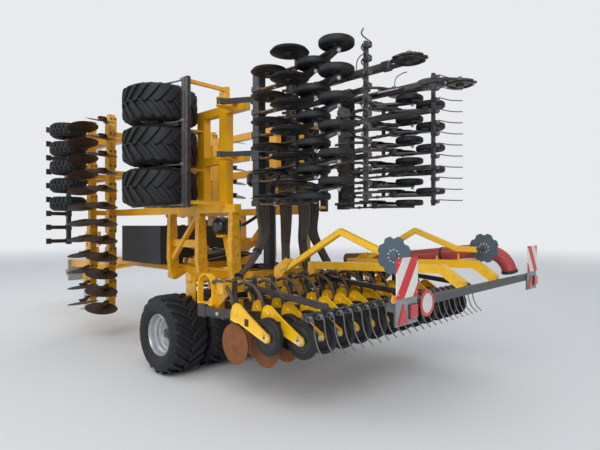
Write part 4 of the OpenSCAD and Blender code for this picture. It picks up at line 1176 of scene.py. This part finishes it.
# %% Line markers
MARKER_ARM = [(-1.225, 1.19), (-2.045, 1.638), (-2.56, 1.442), (-2.77, 1.442)]
MARKER_CHEEK = [(-1.16, 1.15), (-1.28, 1.15), (-1.40, 1.33), (-1.34, 1.36), (-1.16, 1.25)]
MARKER_BOSS = [(0.0, -0.025), (0.028, -0.025), (0.035, -0.018), (0.035, 0.02),
               (0.025, 0.025), (0.0, 0.025)]
HOLE = finish("pale gap", (0.62, 0.63, 0.63), 0.8, dust=0.1)
for tag, side in SIDES:
    holes = [rod("hole", (*p, -0.0012), (*p, 0.0072), 0.0075, HOLE, sides=12, edge=0)
             for p in ring(10, 0.050)]
    wheel = joined("wheel", [scalloped("disc", 0.160, 0.172, 0.032, 8, BLUE_STEEL, 0.006),
                             turned("boss", MARKER_BOSS, ORIGIN, Z_AXIS, BLUE_STEEL, steps=24),
                             *holes])
    parts = [square_bar("arm", MARKER_ARM, 0.030, 0.68, YELLOW),
             box("foot", (0.645, -1.27, 1.15), (0.715, -1.17, 1.24), AMBER, 0.006),
             *[plate("cheek", MARKER_CHEEK, "x", x, x + 0.010, AMBER) for x in (0.638, 0.712)],
             rod_x("pin", 0.62, 0.74, (-1.30, 1.245), 0.014, ZINC, sides=12),
             rod_x("stub", 0.66, 0.88, (-2.76, 1.45), 0.018, STEEL, sides=14),
             placed(wheel, shift(0.88, -2.76, 1.45) @ QUARTER_Y)]
    marker = joined(f"line_marker_{tag}_dressed", parts)
    placed(marker, CENTRE @ Matrix.Diagonal((side, 1, 1, 1)))
    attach(marker, "seed_centre")
    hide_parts(f"line_marker_{tag}")
print("line markers placed")

# %% [markdown]
# A bout marker lies back along each folded wing: a black arm with a bent strap, a toothed
# wheel, a small cylinder and a wire hook. It is drawn about the pivot that it swings on.

# %% Bout markers
BOUT_PIVOT = (2.8, -1.28, 1.22)
BOUT_COLLAR = [(0.0, -0.035), (0.045, -0.035), (0.045, 0.045), (0.035, 0.055), (0.0, 0.055)]
BOUT_STRAP = [(-1.04, 0.048), (-1.20, 0.048), (-1.27, 0.03), (-1.385, -0.105)]
BOUT_DRUM = [(0.118, -0.012), (0.132, -0.014), (0.136, 0.012), (0.132, 0.026), (0.118, 0.024)]
BOUT_INNER = [(0.0, -0.03), (0.038, -0.03), (0.042, -0.01), (0.12, 0.0), (0.12, 0.010),
              (0.042, 0.02), (0.038, 0.04), (0.0, 0.04)]
BOUT_HOOK = [(0, -0.70, 0.02), (0.07, -0.70, 0.03), (0.14, -0.715, 0.02),
             (0.175, -0.77, 0.0), (0.185, -0.83, -0.01)]
for tag, side in SIDES:
    wheel = joined("wheel", [scalloped("toothed", 0.165, 0.180, 0.035, 8, SLATE, 0.012),
                             turned("drum", BOUT_DRUM, ORIGIN, Z_AXIS, BLADE),
                             turned("inner", BOUT_INNER, ORIGIN, Z_AXIS, BLADE, steps=24)])
    strap = square_bar("strap", BOUT_STRAP, 0.0125, 0, SLATE)
    for v in strap.data.vertices:
        v.co.x *= 1.6
    parts = [square_bar("arm", [(0.04, 0), (-1.12, 0)], 0.034, 0, SLATE),
             turned("collar", BOUT_COLLAR, (0, 0.06, 0), Z_AXIS, SLATE, steps=24),
             box("cap", (-0.042, -1.125, -0.042), (0.042, -1.03, 0.042), SLATE, 0.008),
             strap,
             rod_x("axle", -0.065, 0.032, (-1.39, -0.12), 0.022, STEEL),
             placed(wheel, shift(-0.045, -1.39, -0.12) @ QUARTER_Y),
             bent("hook", smooth_path(BOUT_HOOK, per=4), 0.006, STEEL, sides=6),
             rod("ram", (0, -0.05, 0.075), (0, -0.50, 0.06), 0.022, BARREL),
             rod("ram_rod", (0, -0.48, 0.06), (0, -0.80, 0.045), 0.010, ZINC, sides=10),
             plate("lug", [(-0.83, 0.03), (-0.75, 0.03), (-0.78, 0.07), (-0.80, 0.07)], "x",
                   -0.012, 0.012, SLATE),
             plate("lug", [(-0.02, 0.03), (-0.10, 0.03), (-0.08, 0.095), (-0.04, 0.095)], "x",
                   -0.028, 0.028, SLATE)]
    marker = joined(f"bout_marker_{tag}_dressed", parts)
    placed(marker, wing_place(side) @ shift(*BOUT_PIVOT))
    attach(marker, f"bout_marker_{tag}")
    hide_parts(f"bout_marker_{tag}")
print("bout markers placed")

# %% [markdown]
# ## Drum and guards
# A gloss black air drum lies across the machine ahead of the tower, on a yellow stand that is
# bolted to a cross member of the frame. At each end of the centre toolbar a bent yellow band
# guards the outer coulters.

# %% Drum on its stand
DRUM_X, DRUM_Y, DRUM_Z, DRUM_R = -0.38, 0.12, 1.69, 0.12
FOOT_Z, SEAT_Z = 1.125, DRUM_Z - DRUM_R - 0.03
DRUM = [(0.0, -0.20), (0.06, -0.195), (0.100, -0.175), (DRUM_R, -0.14), (DRUM_R, 0.14),
        (0.100, 0.175), (0.06, 0.195), (0.0, 0.20)]
BAND = [(DRUM_R - 0.004, -0.016), (DRUM_R + 0.006, -0.016), (DRUM_R + 0.006, 0.016),
        (DRUM_R - 0.004, 0.016)]
PIPE = [(-0.20, 0.12, 1.69), (-0.12, 0.11, 1.70), (-0.06, 0.04, 1.75), (-0.03, -0.10, 1.83),
        (-0.02, -0.23, 1.93)]
parts = [turned("drum", DRUM, (DRUM_X, DRUM_Y, DRUM_Z), X_AXIS, BARREL, 40),
         *[turned("band", BAND, (DRUM_X + dx, DRUM_Y, DRUM_Z), X_AXIS, STEEL)
           for dx in (-0.08, 0.08)],
         box("seat", (-0.50, DRUM_Y - 0.07, SEAT_Z), (-0.26, DRUM_Y + 0.07, SEAT_Z + 0.036),
             YELLOW),
         plate("post", [(-0.045, FOOT_Z), (0.045, FOOT_Z), (DRUM_Y + 0.06, SEAT_Z),
                        (DRUM_Y - 0.06, SEAT_Z)], "x", -0.405, -0.355, YELLOW, 0.005),
         box("foot", (-0.44, -0.05, FOOT_Z - 0.002), (-0.32, 0.05, FOOT_Z + 0.02), YELLOW),
         bent("pipe", smooth_path(PIPE), 0.022, THIN_HOSE, sides=12)]
drum_set = placed(joined("air_drum", parts), CENTRE)
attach(drum_set, "centre")
print("drum:", len(drum_set.data.polygons), "faces")

# %% [markdown]
# A guard is one band bent over the front toolbar: an outer arch and an inner one make its
# outline.

# %% Guards of the outer coulters
GUARD_Y, GUARD_Z, GUARD_FOOT = -0.94, 1.09, 0.92


def arch(radius):
    """Half a circle over the front toolbar, with a straight leg at each side."""
    angles = [math.radians(a) for a in range(0, 181, 20)]
    bow = [(GUARD_Y - radius * math.cos(a), GUARD_Z + radius * math.sin(a)) for a in angles]
    return [(GUARD_Y - radius, GUARD_FOOT), *bow, (GUARD_Y + radius, GUARD_FOOT)]


parts = []
for near, far in ((-1.455, -1.385), (1.385, 1.455)):
    parts += [plate("guard", arch(0.128) + arch(0.116)[::-1], "x", near, far, YELLOW),
              box("seat", (near, -1.06, 0.905), (far, -0.82, 0.93), YELLOW, 0.003)]
guards = placed(joined("coulter_guards", parts), CENTRE)
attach(guards, "seed_centre")
print("guards:", len(guards.data.polygons), "faces")

# %% [markdown]
# ## What stays of the CAD frame
# Frames, toolbars and pins are right as they are. They keep their solids and get the paint
# and steel of the real ones. What isn't in the table is slate.

# %% Finishes of the CAD nodes
CAD_FINISH = {
    "centre_frame": AMBER, "drawbar": AMBER, "seed_bars_centre": AMBER, "rear_frame": YELLOW,
    "hitch_head": LAMP_GREY, "jack_leg": ZINC, "equipment_box": SHEET, "lamp_beam": BEAM_GREY}
for tag, side in SIDES:
    CAD_FINISH |= {f"wing_frame_{tag}": AMBER, f"wing_arms_{tag}": AMBER,
                   f"fold_barrel_{tag}": BARREL, f"fold_rod_{tag}": ZINC}
for name, obj in nodes.items():
    obj.data.materials.clear()
    obj.data.materials.append(CAD_FINISH.get(name, SLATE))
print("CAD nodes painted:", len(nodes))

# %% [markdown]
# ## Camera, floor and light
# The camera stands where the photographer stood, level, and looks along the machine from
# behind on its left. The light is a plain overcast sky with three large soft lamps. The pale
# backdrop is seen by the camera and in reflections only, so it doesn't bleach the paint, and
# the floor fades into it far from the machine.

# %% Camera
def camera():
    data = bpy.data.cameras.new("photo_camera")
    data.lens, data.sensor_width, data.clip_end = 28.14, 36.0, 200
    cam = bpy.data.objects.new("photo_camera", data)
    cam.location = (-4.14, -6.435, 1.70)
    cam.rotation_euler = (math.radians(90), 0, math.radians(-46))
    bpy.context.scene.collection.objects.link(cam)
    bpy.context.scene.camera = cam
    return cam


print("camera at", tuple(camera().location))

# %% [markdown]
# The floor is pale and dull near the machine. With the distance it turns into the colour of
# the backdrop, so that no horizon shows.

# %% Floor that fades into the backdrop
BACKDROP, BACKDROP_STRENGTH = (0.90, 0.92, 0.94, 1), 0.9
FADE_START, FADE_END, FLOOR_SIZE = 9.0, 34.0, 120


def floor_finish():
    mat = bpy.data.materials.new("pale floor")
    mat.use_nodes = True
    tree = mat.node_tree
    link, shader = tree.links.new, tree.nodes["Principled BSDF"]
    shader.inputs["Roughness"].default_value = 0.85
    shader.inputs["Base Color"].default_value = (0.80, 0.80, 0.79, 1)
    place, ray = node(tree, "ShaderNodeTexCoord"), node(tree, "ShaderNodeLightPath")
    reach = node(tree, "ShaderNodeVectorMath", operation="LENGTH")
    fade = node(tree, "ShaderNodeMapRange", i_From_Min=FADE_START, i_From_Max=FADE_END,
                interpolation_type="SMOOTHSTEP")
    backdrop = node(tree, "ShaderNodeEmission", i_Color=BACKDROP, i_Strength=BACKDROP_STRENGTH)
    blend = node(tree, "ShaderNodeMixShader")
    link(place.outputs["Object"], reach.inputs[0])
    link(reach.outputs["Value"], fade.inputs["Value"])
    seen = maths(tree, "MAXIMUM", ray.outputs["Is Camera Ray"], ray.outputs["Is Glossy Ray"])
    seen = maths(tree, "MAXIMUM", seen, ray.outputs["Is Transmission Ray"])
    link(maths(tree, "MULTIPLY", fade.outputs["Result"], seen), blend.inputs[0])
    link(shader.outputs[0], blend.inputs[1])
    link(backdrop.outputs[0], blend.inputs[2])
    link(blend.outputs[0], tree.nodes["Material Output"].inputs["Surface"])
    return mat


deselect()
bpy.ops.mesh.primitive_plane_add(size=FLOOR_SIZE)
floor = named("floor", floor_finish())
print("floor laid")

# %% [markdown]
# The sky lights the paint softly and a little blue. What the camera sees of it is the
# backdrop instead. The lamps are high and large, so their shadows are soft.

# %% Sky and lamps
SKY, SKY_STRENGTH = (0.86, 0.92, 1.0, 1), 0.62
LAMP_SIZE = 8
LAMPS = (("key", (-9, -9, 9), 800, (0, 0, 1)), ("rim", (8, 7, 10), 300, (0, 0, 1.5)),
         ("side", (-9, 5, 7), 220, (0, 0, 1)))


def light_world():
    world = bpy.data.worlds.new("overcast sky")
    bpy.context.scene.world = world
    world.use_nodes = True
    tree = world.node_tree
    link, sky = tree.links.new, tree.nodes["Background"]
    sky.inputs["Color"].default_value = SKY
    sky.inputs["Strength"].default_value = SKY_STRENGTH
    white = node(tree, "ShaderNodeBackground", i_Color=BACKDROP, i_Strength=BACKDROP_STRENGTH)
    ray, mixer = node(tree, "ShaderNodeLightPath"), node(tree, "ShaderNodeMixShader")
    link(maths(tree, "MAXIMUM", ray.outputs["Is Camera Ray"],
               ray.outputs["Is Transmission Ray"]), mixer.inputs[0])
    link(sky.outputs[0], mixer.inputs[1])
    link(white.outputs[0], mixer.inputs[2])
    link(mixer.outputs[0], tree.nodes["World Output"].inputs["Surface"])


light_world()
for label, spot, power, target in LAMPS:
    lamp = bpy.data.lights.new(label, "AREA")
    lamp.size, lamp.energy = LAMP_SIZE, power
    obj = bpy.data.objects.new(label, lamp)
    obj.location = spot
    obj.rotation_euler = (Vector(target) - Vector(spot)).to_track_quat("-Z", "Y").to_euler()
    bpy.context.scene.collection.objects.link(obj)
bpy.context.scene.view_settings.view_transform = "Standard"
print("lamps:", len(LAMPS))
